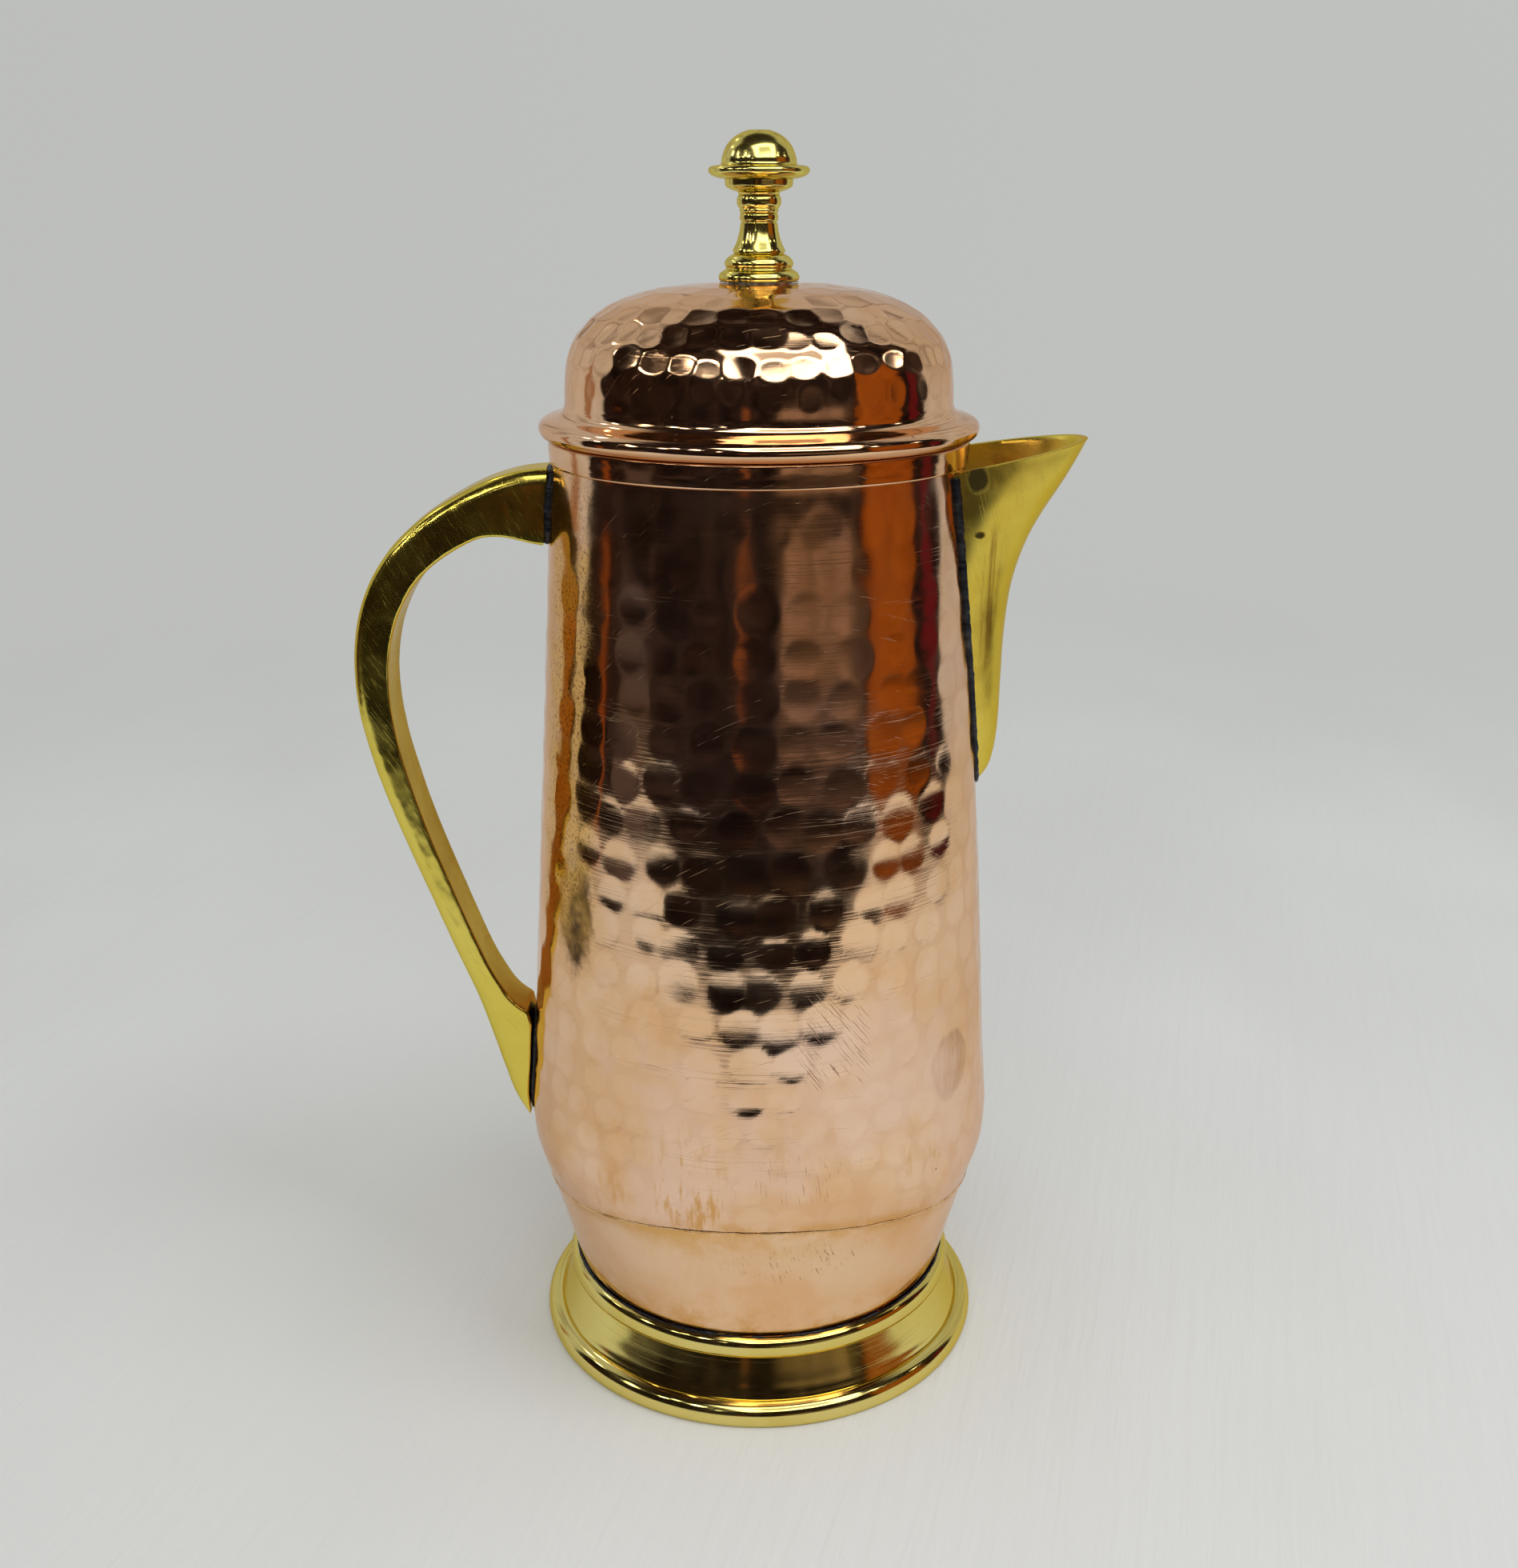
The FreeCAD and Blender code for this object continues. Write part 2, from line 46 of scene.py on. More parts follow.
class Mat:
    """A small wrapper round one material's node tree."""

    def __init__(self, name):
        self.m = bpy.data.materials.new(name)
        self.m.use_nodes = True
        self.t = self.m.node_tree
        for n in list(self.t.nodes):
            self.t.nodes.remove(n)
        self.out = self.t.nodes.new("ShaderNodeOutputMaterial")
        self._geo = None
        self._tc = None

    def n(self, kind, **props):
        node = self.t.nodes.new("ShaderNode" + kind)
        for k, v in props.items():
            setattr(node, k, v)
        return node

    def link(self, a, b):
        self.t.links.new(a, b)

    def put(self, socket, value):
        if isinstance(value, bpy.types.NodeSocket):
            self.link(value, socket)
        else:
            socket.default_value = value

    def pos(self):
        if self._tc is None:
            self._tc = self.n("TexCoord")
        return self._tc.outputs["Object"]

    def xyz(self, v=None):
        s = self.n("SeparateXYZ")
        self.link(v or self.pos(), s.inputs[0])
        return s.outputs

    def vec(self, x, y, z):
        c = self.n("CombineXYZ")
        for i, v in enumerate((x, y, z)):
            self.put(c.inputs[i], v)
        return c.outputs[0]

    def math(self, op, a, b=None, c=None, clamp=False):
        m = self.n("Math", operation=op, use_clamp=clamp)
        self.put(m.inputs[0], a)
        if b is not None:
            self.put(m.inputs[1], b)
        if c is not None:
            self.put(m.inputs[2], c)
        return m.outputs[0]

    def vmath(self, op, a, b=None):
        m = self.n("VectorMath", operation=op)
        self.put(m.inputs[0], a)
        if b is not None:
            self.put(m.inputs[1], b)
        return m.outputs["Value"] if op in ("LENGTH", "DISTANCE", "DOT_PRODUCT") else m.outputs[0]

    def mapping(self, scale=(1, 1, 1), rot=(0, 0, 0), loc=(0, 0, 0), v=None):
        m = self.n("Mapping")
        self.link(v or self.pos(), m.inputs["Vector"])
        m.inputs["Scale"].default_value = scale
        m.inputs["Rotation"].default_value = rot
        m.inputs["Location"].default_value = loc
        return m.outputs[0]

    def noise(self, v=None, scale=5.0, detail=3.0, rough=0.55, dist=0.0, color=False):
        t = self.n("TexNoise")
        t.inputs["Scale"].default_value = scale
        t.inputs["Detail"].default_value = detail
        t.inputs["Roughness"].default_value = rough
        t.inputs["Distortion"].default_value = dist
        self.link(v or self.pos(), t.inputs["Vector"])
        return t.outputs["Color"] if color else t.outputs["Fac"]

    def voronoi(self, v=None, scale=5.0, feature="F1", rand=1.0):
        t = self.n("TexVoronoi", feature=feature)
        t.inputs["Scale"].default_value = scale
        t.inputs["Randomness"].default_value = rand
        self.link(v or self.pos(), t.inputs["Vector"])
        return t.outputs["Distance"]

    def ramp(self, v, lo, hi, a=0.0, b=1.0, smooth=True):
        r = self.n("MapRange", interpolation_type="SMOOTHSTEP" if smooth else "LINEAR")
        r.clamp = True
        self.put(r.inputs["Value"], v)
        for key, val in (("From Min", lo), ("From Max", hi), ("To Min", a), ("To Max", b)):
            self.put(r.inputs[key], val)
        return r.outputs["Result"]

    def mix(self, fac, a, b, mode="MIX"):
        m = self.n("MixRGB", blend_type=mode)
        self.put(m.inputs[0], fac)
        for i, v in ((1, a), (2, b)):
            if isinstance(v, tuple) and len(v) == 3:
                v = (*v, 1.0)
            self.put(m.inputs[i], v)
        return m.outputs[0]

    def curve(self, fac, stops):
        r = self.n("ValToRGB")
        self.link(fac, r.inputs[0])
        e = r.color_ramp.elements
        while len(e) < len(stops):
            e.new(0.5)
        for el, (p, c) in zip(e, stops):
            el.position = p
            el.color = (*c, 1.0) if len(c) == 3 else c
        return r.outputs[0]

    def blob(self, centre, size, soft=0.35, noise_scale=180.0, amount=0.5, seed=(0, 0, 0)):
        """1 inside an ellipsoid with a broken edge, 0 outside. Millimetres."""
        c = [v * MM for v in centre]
        s = [1.0 / (v * MM) for v in size]
        m = self.n("Mapping", vector_type="POINT")
        self.link(self.pos(), m.inputs["Vector"])
        m.inputs["Scale"].default_value = s
        m.inputs["Location"].default_value = [-a * b for a, b in zip(c, s)]
        d = self.vmath("LENGTH", m.outputs[0])
        n = self.noise(self.mapping(loc=seed), scale=noise_scale, detail=5.0, rough=0.65)
        d2 = self.math("MULTIPLY_ADD", self.math("SUBTRACT", n, 0.5), amount * 2.0, d)
        return self.ramp(d2, 1.0 + soft * 0.5, 1.0 - soft * 0.5)

    def streaks(self, along, across, rot=(0, 0, 0), detail=3.0, loc=(0, 0, 0), axis="z"):
        """Noise stretched so that its lines are `along` mm long and `across` mm thick.
        axis names the direction across the lines."""
        lo, hi = 1000.0 / along, 1000.0 / across
        sc = {"z": (lo, lo, hi), "x": (hi, lo, lo), "y": (lo, hi, lo)}[axis]
        r = self.n("VectorRotate", rotation_type="EULER_XYZ")
        self.link(self.pos(), r.inputs["Vector"])
        r.inputs["Rotation"].default_value = rot
        v = self.mapping(scale=sc, v=r.outputs[0], loc=loc)
        return self.noise(v, scale=1.0, detail=detail, rough=0.6)

    def bump(self, height, dist, normal=None, strength=1.0):
        b = self.n("Bump")
        b.inputs["Strength"].default_value = strength
        b.inputs["Distance"].default_value = dist
        self.put(b.inputs["Height"], height)
        if normal is not None:
            self.link(normal, b.inputs["Normal"])
        return b.outputs[0]

    def principled(self, color, metallic=1.0, rough=0.2, normal=None, **extra):
        p = self.n("BsdfPrincipled")
        if isinstance(color, tuple) and len(color) == 3:
            color = (*color, 1.0)
        self.put(p.inputs["Base Color"], color)
        self.put(p.inputs["Metallic"], metallic)
        self.put(p.inputs["Roughness"], rough)
        if normal is not None:
            self.link(normal, p.inputs["Normal"])
        for k, v in extra.items():
            self.put(p.inputs[k.replace("_", " ")], v)
        self.link(p.outputs[0], self.out.inputs["Surface"])
        return p


# ---------------------------------------------------------------------------
# mesh helpers
# ---------------------------------------------------------------------------


def make_object(name, verts, faces, mat, body, replaces=(), sharp=None):
    me = bpy.data.meshes.new(name)
    me.from_pydata([tuple(v) for v in verts], [], [tuple(int(i) for i in f) for f in faces])
    me.validate()
    ob = bpy.data.objects.new(name, me)
    scene.collection.objects.link(ob)
    bm = bmesh.new()
    bm.from_mesh(me)
    bmesh.ops.recalc_face_normals(bm, faces=bm.faces)
    bm.to_mesh(me)
    bm.free()
    me.shade_smooth()
    if sharp is not None:
        me.set_sharp_from_angle(angle=math.radians(sharp))
    if mat is not None:
        me.materials.append(mat.m if isinstance(mat, Mat) else mat)
    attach(ob, body)
    if replaces:
        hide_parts(*replaces)
    return ob


def spline_pts(pts, step):
    """Points along a smooth curve through pts (radius, height), about step apart."""
    p = np.array(pts, float)
    if len(p) == 2:
        n = max(2, int(np.hypot(*(p[1] - p[0])) / step) + 1)
        return np.linspace(p[0], p[1], n)
    t = np.concatenate([[0], np.cumsum(np.hypot(*np.diff(p, axis=0).T))])
    n = max(len(p) * 2, int(t[-1] / step) + 1)
    tt = np.linspace(0, t[-1], n)
    return np.stack([cubic(t, p[:, 0], tt), cubic(t, p[:, 1], tt)], 1)


def cubic(x, y, q):
    """Natural cubic spline through (x, y), read at q."""
    x, y, q = np.asarray(x, float), np.asarray(y, float), np.asarray(q, float)
    n = len(x)
    h = np.diff(x)
    a = np.zeros((n, n))
    b = np.zeros(n)
    a[0, 0] = a[-1, -1] = 1
    for i in range(1, n - 1):
        a[i, i - 1], a[i, i], a[i, i + 1] = h[i - 1], 2 * (h[i - 1] + h[i]), h[i]
        b[i] = 3 * ((y[i + 1] - y[i]) / h[i] - (y[i] - y[i - 1]) / h[i - 1])
    c = np.linalg.solve(a, b)
    i = np.clip(np.searchsorted(x, q) - 1, 0, n - 2)
    d = q - x[i]
    bb = (y[i + 1] - y[i]) / h[i] - h[i] * (2 * c[i] + c[i + 1]) / 3
    dd = (c[i + 1] - c[i]) / (3 * h[i])
    return y[i] + bb * d + c[i] * d ** 2 + dd * d ** 3


def profile(runs, step):
    """A closed or open profile from ("L"|"S", points) runs, as one list of points."""
    out = []
    for kind, pts in runs:
        if kind == "S":
            q = spline_pts(pts, step)
        else:
            q = []
            for a, b in zip(pts, pts[1:]):
                n = max(1, int(math.dist(a, b) / (step * 2)))
                q += [np.array(a) + (np.array(b) - np.array(a)) * i / n for i in range(n)]
            q.append(np.array(pts[-1]))
            q = np.array(q)
        for p in q:
            if not out or math.dist(out[-1], p) > 1e-4:
                out.append(tuple(p))
    return np.array(out)


def lathe(name, prof, seg, mat, body, replaces=(), sharp=40, wobble=None):
    """Turns a profile (radius, height) in mm round Z. A profile that starts and ends on
    the axis is closed there, and any other one is closed on itself."""
    prof = np.array(prof, float)
    on_axis = prof[0, 0] < 1e-6 and prof[-1, 0] < 1e-6
    phi = np.linspace(0, 2 * np.pi, seg, endpoint=False)
    body_pts = prof[1:-1] if on_axis else prof
    r, z = body_pts[:, 0][:, None], body_pts[:, 1][:, None]
    x = r * np.sin(phi)[None]
    y = -r * np.cos(phi)[None]
    zz = np.repeat(z, seg, 1)
    if wobble is not None:
        x, y, zz = wobble(x, y, zz, r, phi)
    v = np.stack([x, y, zz], 2).reshape(-1, 3)
    n = len(body_pts)
    idx = np.arange(n * seg).reshape(n, seg)
    nxt = np.roll(idx, -1, 1)
    if on_axis:
        f = np.stack([idx[:-1], nxt[:-1], nxt[1:], idx[1:]], 2).reshape(-1, 4).tolist()
        a = len(v)
        v = np.vstack([v, [[0, 0, prof[0, 1]], [0, 0, prof[-1, 1]]]])
        f += [(a, nxt[0, j], idx[0, j]) for j in range(seg)]
        f += [(a + 1, idx[-1, j], nxt[-1, j]) for j in range(seg)]
    else:
        up = np.roll(idx, -1, 0)
        upn = np.roll(nxt, -1, 0)
        if np.hypot(*(prof[0] - prof[-1])) < 1e-4:
            raise ValueError("profile repeats its first point")
        f = np.stack([idx, nxt, upn, up], 2).reshape(-1, 4).tolist()
    return make_object(name, v * MM, f, mat, body, replaces, sharp)


def fbm(x, y, seed, period_x, octaves=4):
    """Smooth value noise on a grid: periodic in x with period_x cells."""
    out = np.zeros(np.broadcast(x, y).shape)
    amp, tot = 1.0, 0.0
    for o in range(octaves):
        k = 2 ** o
        px = period_x * k
        g = np.random.default_rng(seed + o * 101).uniform(-1, 1, (px, 512))
        fx, fy = x * k, y * k
        ix, iy = np.floor(fx).astype(int), np.floor(fy).astype(int)
        tx, ty = fx - ix, fy - iy
        tx, ty = tx * tx * (3 - 2 * tx), ty * ty * (3 - 2 * ty)
        i0, i1, j0, j1 = ix % px, (ix + 1) % px, iy % 512, (iy + 1) % 512
        out += amp * ((g[i0, j0] * (1 - tx) + g[i1, j0] * tx) * (1 - ty) + (g[i0, j1] * (1 - tx) + g[i1, j1] * tx) * ty)
        tot += amp
        amp *= 0.5
    return out / tot


# ---------------------------------------------------------------------------
# stage: seamless pale cloth, the dark room it stands in, and the lights
# ---------------------------------------------------------------------------


def stage_material():
    m = Mat("backdrop_cloth")
    lp = m.n("LightPath")
    p = m.xyz()
    x, y, z = p[0], p[1], p[2]
    # the cloth near the jug: pale, softly creased
    big = m.noise(m.mapping(scale=(1.0, 0.6, 1.0)), scale=7.0, detail=2, rough=0.5)
    crinkle = m.streaks(70, 5, axis="x", detail=3, rot=(0, 0, 0.25))
    hgt = m.math("MULTIPLY_ADD", big, 8.0, crinkle)
    nb = m.bump(hgt, 0.0011, strength=0.45)
    dif = m.n("BsdfDiffuse")
    m.link(m.mix(m.ramp(big, 0.3, 0.7), (0.80, 0.80, 0.79), (0.835, 0.838, 0.83)), dif.inputs[0])
    m.link(nb, dif.inputs["Normal"])
    # far cloth: an even pale backdrop, brighter low on the right, which glows as painted light instead of being lit
    far = m.mix(m.ramp(x, -1.6, 1.6), (0.505, 0.513, 0.497), (0.53, 0.54, 0.525))
    cam_em = m.n("Emission")
    m.link(far, cam_em.inputs[0])
    cam_em.inputs[1].default_value = 1.0
    rad_xy = m.vmath("LENGTH", m.vec(x, y, 0.0))
    away = m.ramp(rad_xy, 0.45, 1.05)
    cloth = m.n("MixShader")
    m.link(away, cloth.inputs[0])
    m.link(dif.outputs[0], cloth.inputs[1])
    m.link(cam_em.outputs[0], cloth.inputs[2])
    # what polished metal sees, as a painted reflection that glows: cloth behind and beside, a dark room in front
    az = m.math("MULTIPLY", m.math("ARCTAN2", x, m.math("MULTIPLY", y, -1.0)), 57.29578)
    zr = m.math("SUBTRACT", z, 0.13)
    rad = m.vmath("LENGTH", m.vec(x, y, zr))
    el = m.math("MULTIPLY", m.math("ARCSINE", m.math("DIVIDE", zr, rad)), 57.29578)
    wn = m.noise(scale=6.0, detail=2)
    wob = m.math("MULTIPLY_ADD", wn, 10.0, -5.0)
    azw = m.math("ADD", az, wob)
    left_cloth = m.ramp(azw, -100.5, -102.5)
    right_cloth = m.ramp(azw, 108.5, 111.0)
    side = m.math("MAXIMUM", left_cloth, right_cloth)
    low = m.ramp(m.math("ADD", el, m.math("MULTIPLY", wob, 1.2)), 61.0, 51.0)
    cloth_mask = m.math("MULTIPLY", side, low)
    room_n = m.noise(m.mapping(scale=(1.5, 1.5, 0.5)), scale=2.4, detail=3, rough=0.6)
    room = m.curve(room_n, [(0.0, (0.003, 0.002, 0.002)), (0.42, (0.007, 0.004, 0.004)),
                            (0.55, (0.019, 0.011, 0.009)), (0.66, (0.05, 0.035, 0.031)), (1.0, (0.10, 0.08, 0.074))])

    def box(a0, a1, e0, e1, sa=1.2, se=1.5):
        k = m.math("MULTIPLY", m.ramp(azw, a0 - sa, a0 + sa), m.ramp(azw, a1 + sa, a1 - sa))
        q = m.math("MULTIPLY", m.ramp(el, e0 - se, e0 + se), m.ramp(el, e1 + se, e1 - se))
        return m.math("MULTIPLY", k, q)

    room = m.mix(box(57, 88, -20, 26), room, m.mix(m.ramp(room_n, 0.35, 0.65), (0.20, 0.052, 0.004), (0.30, 0.088, 0.010)))
    room = m.mix(box(96, 103, -16, 14), room, (0.10, 0.008, 0.012))
    room = m.mix(m.ramp(el, -6.5, -9.5), room, m.mix(0.55, room, (0.003, 0.002, 0.002)))
    room = m.mix(box(-9, -5.5, -6.3, 3, 0.8, 0.6), room, (0.16, 0.055, 0.02))
    room = m.mix(m.math("MULTIPLY", box(9, 54, -8.5, 4, 3.0, 3.5), m.ramp(room_n, 0.30, 0.55, 0.4, 1.0)), room, (0.082, 0.055, 0.040))
    room = m.mix(m.math("MULTIPLY", box(11, 48, -4.4, 2, 1.5, 1.6), m.ramp(room_n, 0.32, 0.58, 0.45, 1.0)), room, (0.26, 0.175, 0.13))
    room = m.mix(box(-90, -86, -34, -1, 1.0), room, (0.20, 0.055, 0.01))
    room = m.mix(m.math("MULTIPLY", box(-74, -58, -26, -4, 2.0, 3.0), 0.8), room, (0.09, 0.07, 0.07))
    far_cloth = m.mix(m.ramp(room_n, 0.35, 0.65), (0.475, 0.475, 0.47), (0.545, 0.55, 0.545))
    far_cloth = m.mix(m.math("MULTIPLY", box(-119, -113, -60, 20, 1.5), 0.82), far_cloth, (0.26, 0.10, 0.012))
    # painted shade in the folds of the far cloth, seen only in reflections
    fold = m.noise(m.mapping(scale=(2.2, 2.2, 0.5), loc=(3, 1, 5)), scale=2.6, detail=2, rough=0.5)
    fold_k = m.math("MULTIPLY", m.ramp(fold, 0.53, 0.66), m.ramp(el, 6.0, 20.0))
    far_cloth = m.mix(m.math("MULTIPLY", fold_k, 0.75), far_cloth, (0.16, 0.13, 0.12))
    seen = m.mix(cloth_mask, room, far_cloth)
    em = m.n("Emission")
    m.link(seen, em.inputs[0])
    em.inputs[1].default_value = 1.0
    # the table's cloth ends in a straight front edge; past it metal sees the room
    edge = m.math("ADD", y, m.math("MULTIPLY_ADD", wn, 0.05, -0.025))
    near = m.ramp(edge, -0.382, -0.362)
    flat = m.ramp(z, 0.06, 0.03)
    side_ok = m.ramp(m.math("ABSOLUTE", m.math("MULTIPLY_ADD", m.math("SUBTRACT", wn, 0.5), 0.08, x)), 0.585, 0.555)
    on_table = m.math("MULTIPLY", m.math("MULTIPLY", near, flat), side_ok)
    gl = m.math("MULTIPLY", lp.outputs["Is Glossy Ray"], m.math("SUBTRACT", 1.0, on_table))
    mixs = m.n("MixShader")
    m.link(gl, mixs.inputs[0])
    m.link(cloth.outputs[0], mixs.inputs[1])
    m.link(em.outputs[0], mixs.inputs[2])
    m.link(mixs.outputs[0], m.out.inputs["Surface"])
    return m


def build_stage():
    r0, bend, top = 1.1, 0.75, 3.2
    prof = [(0.0, 0.0)]
    for r in np.linspace(0.06, r0, 40):
        prof.append((r, 0.0))
    for a in np.linspace(0, math.pi / 2, 24)[1:]:
        prof.append((r0 + bend * math.sin(a), bend * (1 - math.cos(a))))
    for zz in np.linspace(bend, top, 12)[1:]:
        prof.append((r0 + bend, zz))
    for a in np.linspace(0, math.pi / 2, 16)[1:]:
        prof.append(((r0 + bend) * math.cos(a), top + 0.5 * math.sin(a)))
    prof[-1] = (0.0, prof[-1][1])
    seg = 128
    v, f = [], []
    phi = np.linspace(0, 2 * np.pi, seg, endpoint=False)
    v.append((0, 0, 0))
    for r, z in prof[1:-1]:
        v += [(r * math.sin(p), -r * math.cos(p), z) for p in phi]
    v.append((0, 0, prof[-1][1]))
    n = len(prof) - 2
    for j in range(seg):
        k = (j + 1) % seg
        f.append((0, 1 + k, 1 + j))
        for i in range(n - 1):
            a, b = 1 + i * seg, 1 + (i + 1) * seg
            f.append((a + j, a + k, b + k, b + j))
        f.append((1 + (n - 1) * seg + j, 1 + (n - 1) * seg + k, len(v) - 1))
    me = bpy.data.meshes.new("backdrop")
    me.from_pydata(v, [], f)
    me.shade_smooth()
    ob = bpy.data.objects.new("backdrop", me)
    me.materials.append(stage_material().m)
    scene.collection.objects.link(ob)
    return ob


def card(name, az, el, dist, w, h, color, strength, hole=None):
    """A glowing card that only polished surfaces see, facing the jug."""
    m = Mat(name)
    em = m.n("Emission")
    em.inputs[0].default_value = (*color, 1)
    em.inputs[1].default_value = strength
    if hole:
        p = m.xyz()
        inside = m.math("MULTIPLY", m.ramp(m.math("ABSOLUTE", p[0]), hole[0] + 0.01, hole[0] - 0.01),
                        m.ramp(m.math("ABSOLUTE", p[1]), hole[1] + 0.01, hole[1] - 0.01))
        m.link(m.ramp(inside, 0, 1, strength, strength * hole[2], smooth=False), em.inputs[1])
    m.link(em.outputs[0], m.out.inputs["Surface"])
    a, e = math.radians(az), math.radians(el)
    d = Vector((math.sin(a) * math.cos(e), -math.cos(a) * math.cos(e), math.sin(e)))
    me = bpy.data.meshes.new(name)
    me.from_pydata([(-w / 2, -h / 2, 0), (w / 2, -h / 2, 0), (w / 2, h / 2, 0), (-w / 2, h / 2, 0)], [], [(0, 1, 2, 3)])
    me.materials.append(m.m)
    ob = bpy.data.objects.new(name, me)
    ob.location = Vector((0, 0, 0.2)) + d * dist
    ob.rotation_mode = "QUATERNION"
    ob.rotation_quaternion = d.to_track_quat("Z", "Y")
    scene.collection.objects.link(ob)
    ob.visible_camera = False
    ob.visible_diffuse = False
    ob.visible_shadow = False
    ob.visible_transmission = False
    return ob


def area(name, loc, target, size, energy, color=(1, 1, 1)):
    li = bpy.data.lights.new(name, "AREA")
    li.shape = "RECTANGLE"
    li.size, li.size_y = size
    li.energy = energy
    li.color = color
    ob = bpy.data.objects.new(name, li)
    ob.location = loc
    ob.rotation_mode = "QUATERNION"
    ob.rotation_quaternion = (Vector(loc) - Vector(target)).to_track_quat("Z", "Y")
    ob.visible_glossy = False
    ob.visible_camera = False
    scene.collection.objects.link(ob)
    return ob


build_stage()
card("window_panel", 23, 51, 1.25, 1.34, 1.0, (1.0, 0.985, 0.95), 3.1, hole=(0.36, 0.20, 0.24))
for i, (a, e, s, k) in enumerate([(-34, 33, 0.045, 12), (-52, 30, 0.035, 8), (-48, 38, 0.03, 8), (-70, 26, 0.04, 9),
                                  (-76, 34, 0.03, 7), (-98, 30, 0.035, 7), (-118, 36, 0.03, 6), (-20, 20, 0.02, 5),
                                  (66, 34, 0.03, 6), (92, 28, 0.025, 4), (-140, 44, 0.03, 6)]):
    card("lamp_%02d" % i, a, e, 1.3, s * 2.1, s * 2.1, (1.0, 0.97, 0.92), k * 2.2)
area("key_light", (0.70, -0.40, 1.35), (0, 0, 0.05), (0.7, 0.6), 4.65, (0.965, 0.985, 1.0))
area("front_light", (-0.05, -0.95, 0.9), (0, -0.22, 0.0), (0.9, 0.5), 3.5, (0.965, 0.985, 1.0))

world = bpy.data.worlds.new("studio")
scene.world = world
world.use_nodes = True
bg = world.node_tree.nodes["Background"]
bg.inputs[0].default_value = (0.8, 0.81, 0.82, 1)
bg.inputs[1].default_value = 0.0

cam_data = bpy.data.cameras.new("camera")
cam_data.sensor_width = 36.0
cam_data.lens = 2223.8 * 36.0 / 1960.0
cam_data.clip_start = 0.01
cam_data.clip_end = 50.0
cam = bpy.data.objects.new("camera", cam_data)
cam.location = (0.0, -0.4268, 0.2913)
cam.rotation_euler = (math.radians(90 - 18.35), 0, 0)
scene.collection.objects.link(cam)
scene.camera = cam
scene.view_settings.view_transform = "Standard"

# ---------------------------------------------------------------------------
# metals
# ---------------------------------------------------------------------------


def copper(name, brushed=1.0, stain=1.0, extra=None):
    """Polished, hand-worked copper: warm tarnish clouds, drawn-round scratches, specks."""
    m = Mat(name)
    cloud = m.noise(scale=22.0, detail=5, rough=0.6, dist=0.6)
    cloud2 = m.noise(m.mapping(loc=(3, 1, 2)), scale=70.0, detail=5, rough=0.65)
    fine = m.noise(scale=900.0, detail=3, rough=0.6)
    col = m.mix(m.ramp(cloud, 0.35, 0.66), (0.95, 0.655, 0.44), (0.885, 0.54, 0.29))
    col = m.mix(m.math("MULTIPLY", m.ramp(cloud2, 0.53, 0.72), 0.42 * stain), col, (0.84, 0.44, 0.16))
    rough = m.ramp(cloud2, 0.3, 0.8, 0.055, 0.13)
    # drawn-round scratches: fine grooves that run round the jug
    s1 = m.streaks(24, 0.13, detail=2)
    s2 = m.streaks(10, 0.22, detail=2, rot=(0.06, 0.03, 0.3), loc=(5, 2, 1))
    band = m.ramp(m.streaks(60, 6.0, detail=2, loc=(1, 7, 3)), 0.44, 0.66)
    g1 = m.ramp(s1, 0.56, 0.80)
    g2 = m.ramp(s2, 0.64, 0.80)
    grooves = m.math("MULTIPLY", m.math("MAXIMUM", g1, m.math("MULTIPLY", g2, 0.6)), m.math("MULTIPLY_ADD", band, 0.85, 0.15))
    rough = m.math("MULTIPLY_ADD", grooves, 0.17 * brushed, rough)
    # hairline scratches in other directions
    hair = m.ramp(m.streaks(9, 0.09, detail=1, rot=(0.9, 0.2, 0.4), loc=(2, 2, 9)), 0.74, 0.79)
    rough = m.math("MULTIPLY_ADD", hair, 0.12, rough)
    # dark specks
    cell = m.voronoi(m.mapping(loc=(0.01, 0.02, 0)), scale=120.0)
    pick = m.ramp(m.noise(m.mapping(loc=(7, 3, 1)), scale=60.0, detail=1), 0.60, 0.66)
    speck = m.math("MULTIPLY", m.ramp(cell, 0.065, 0.035), pick)
    col = m.mix(m.math("MULTIPLY", speck, 0.75), col, (0.10, 0.035, 0.015))
    rough = m.math("MULTIPLY_ADD", speck, 0.3, rough)
    h = m.math("MULTIPLY_ADD", grooves, -0.32 * brushed, m.math("MULTIPLY", s1, 0.10))
    h = m.math("MULTIPLY_ADD", hair, -0.25, h)
    h = m.math("MULTIPLY_ADD", fine, 0.08, h)
    state = {"col": col, "rough": rough, "h": h}
    if extra:
        extra(m, state)
    nb = m.bump(m.math("MULTIPLY_ADD", cloud2, 1.1, state["h"]), 0.00002, strength=1.0)
    m.principled(state["col"], 1.0, state["rough"], nb, Specular_Tint=(0.93, 0.80, 0.70, 1.0))
    return m


def ridge_shade_layer(m, s, amount=0.5, tone=(0.52, 0.25, 0.11)):
    at = m.n("Attribute")
    at.attribute_name = "ridge"
    # painted shade: ridges between hammer marks take a darker, more orange tone and more roughness, standing in for the
    # shade that outlines each facet, with some tarnish
    k = m.math("MULTIPLY", at.outputs["Fac"], m.ramp(m.noise(m.mapping(loc=(6, 6, 6)), scale=90, detail=3), 0.42, 0.66, 0.0, 1.0))
    s["col"] = m.mix(m.math("MULTIPLY", k, amount), s["col"], tone)
    s["rough"] = m.math("MULTIPLY_ADD", k, 0.06, s["rough"])


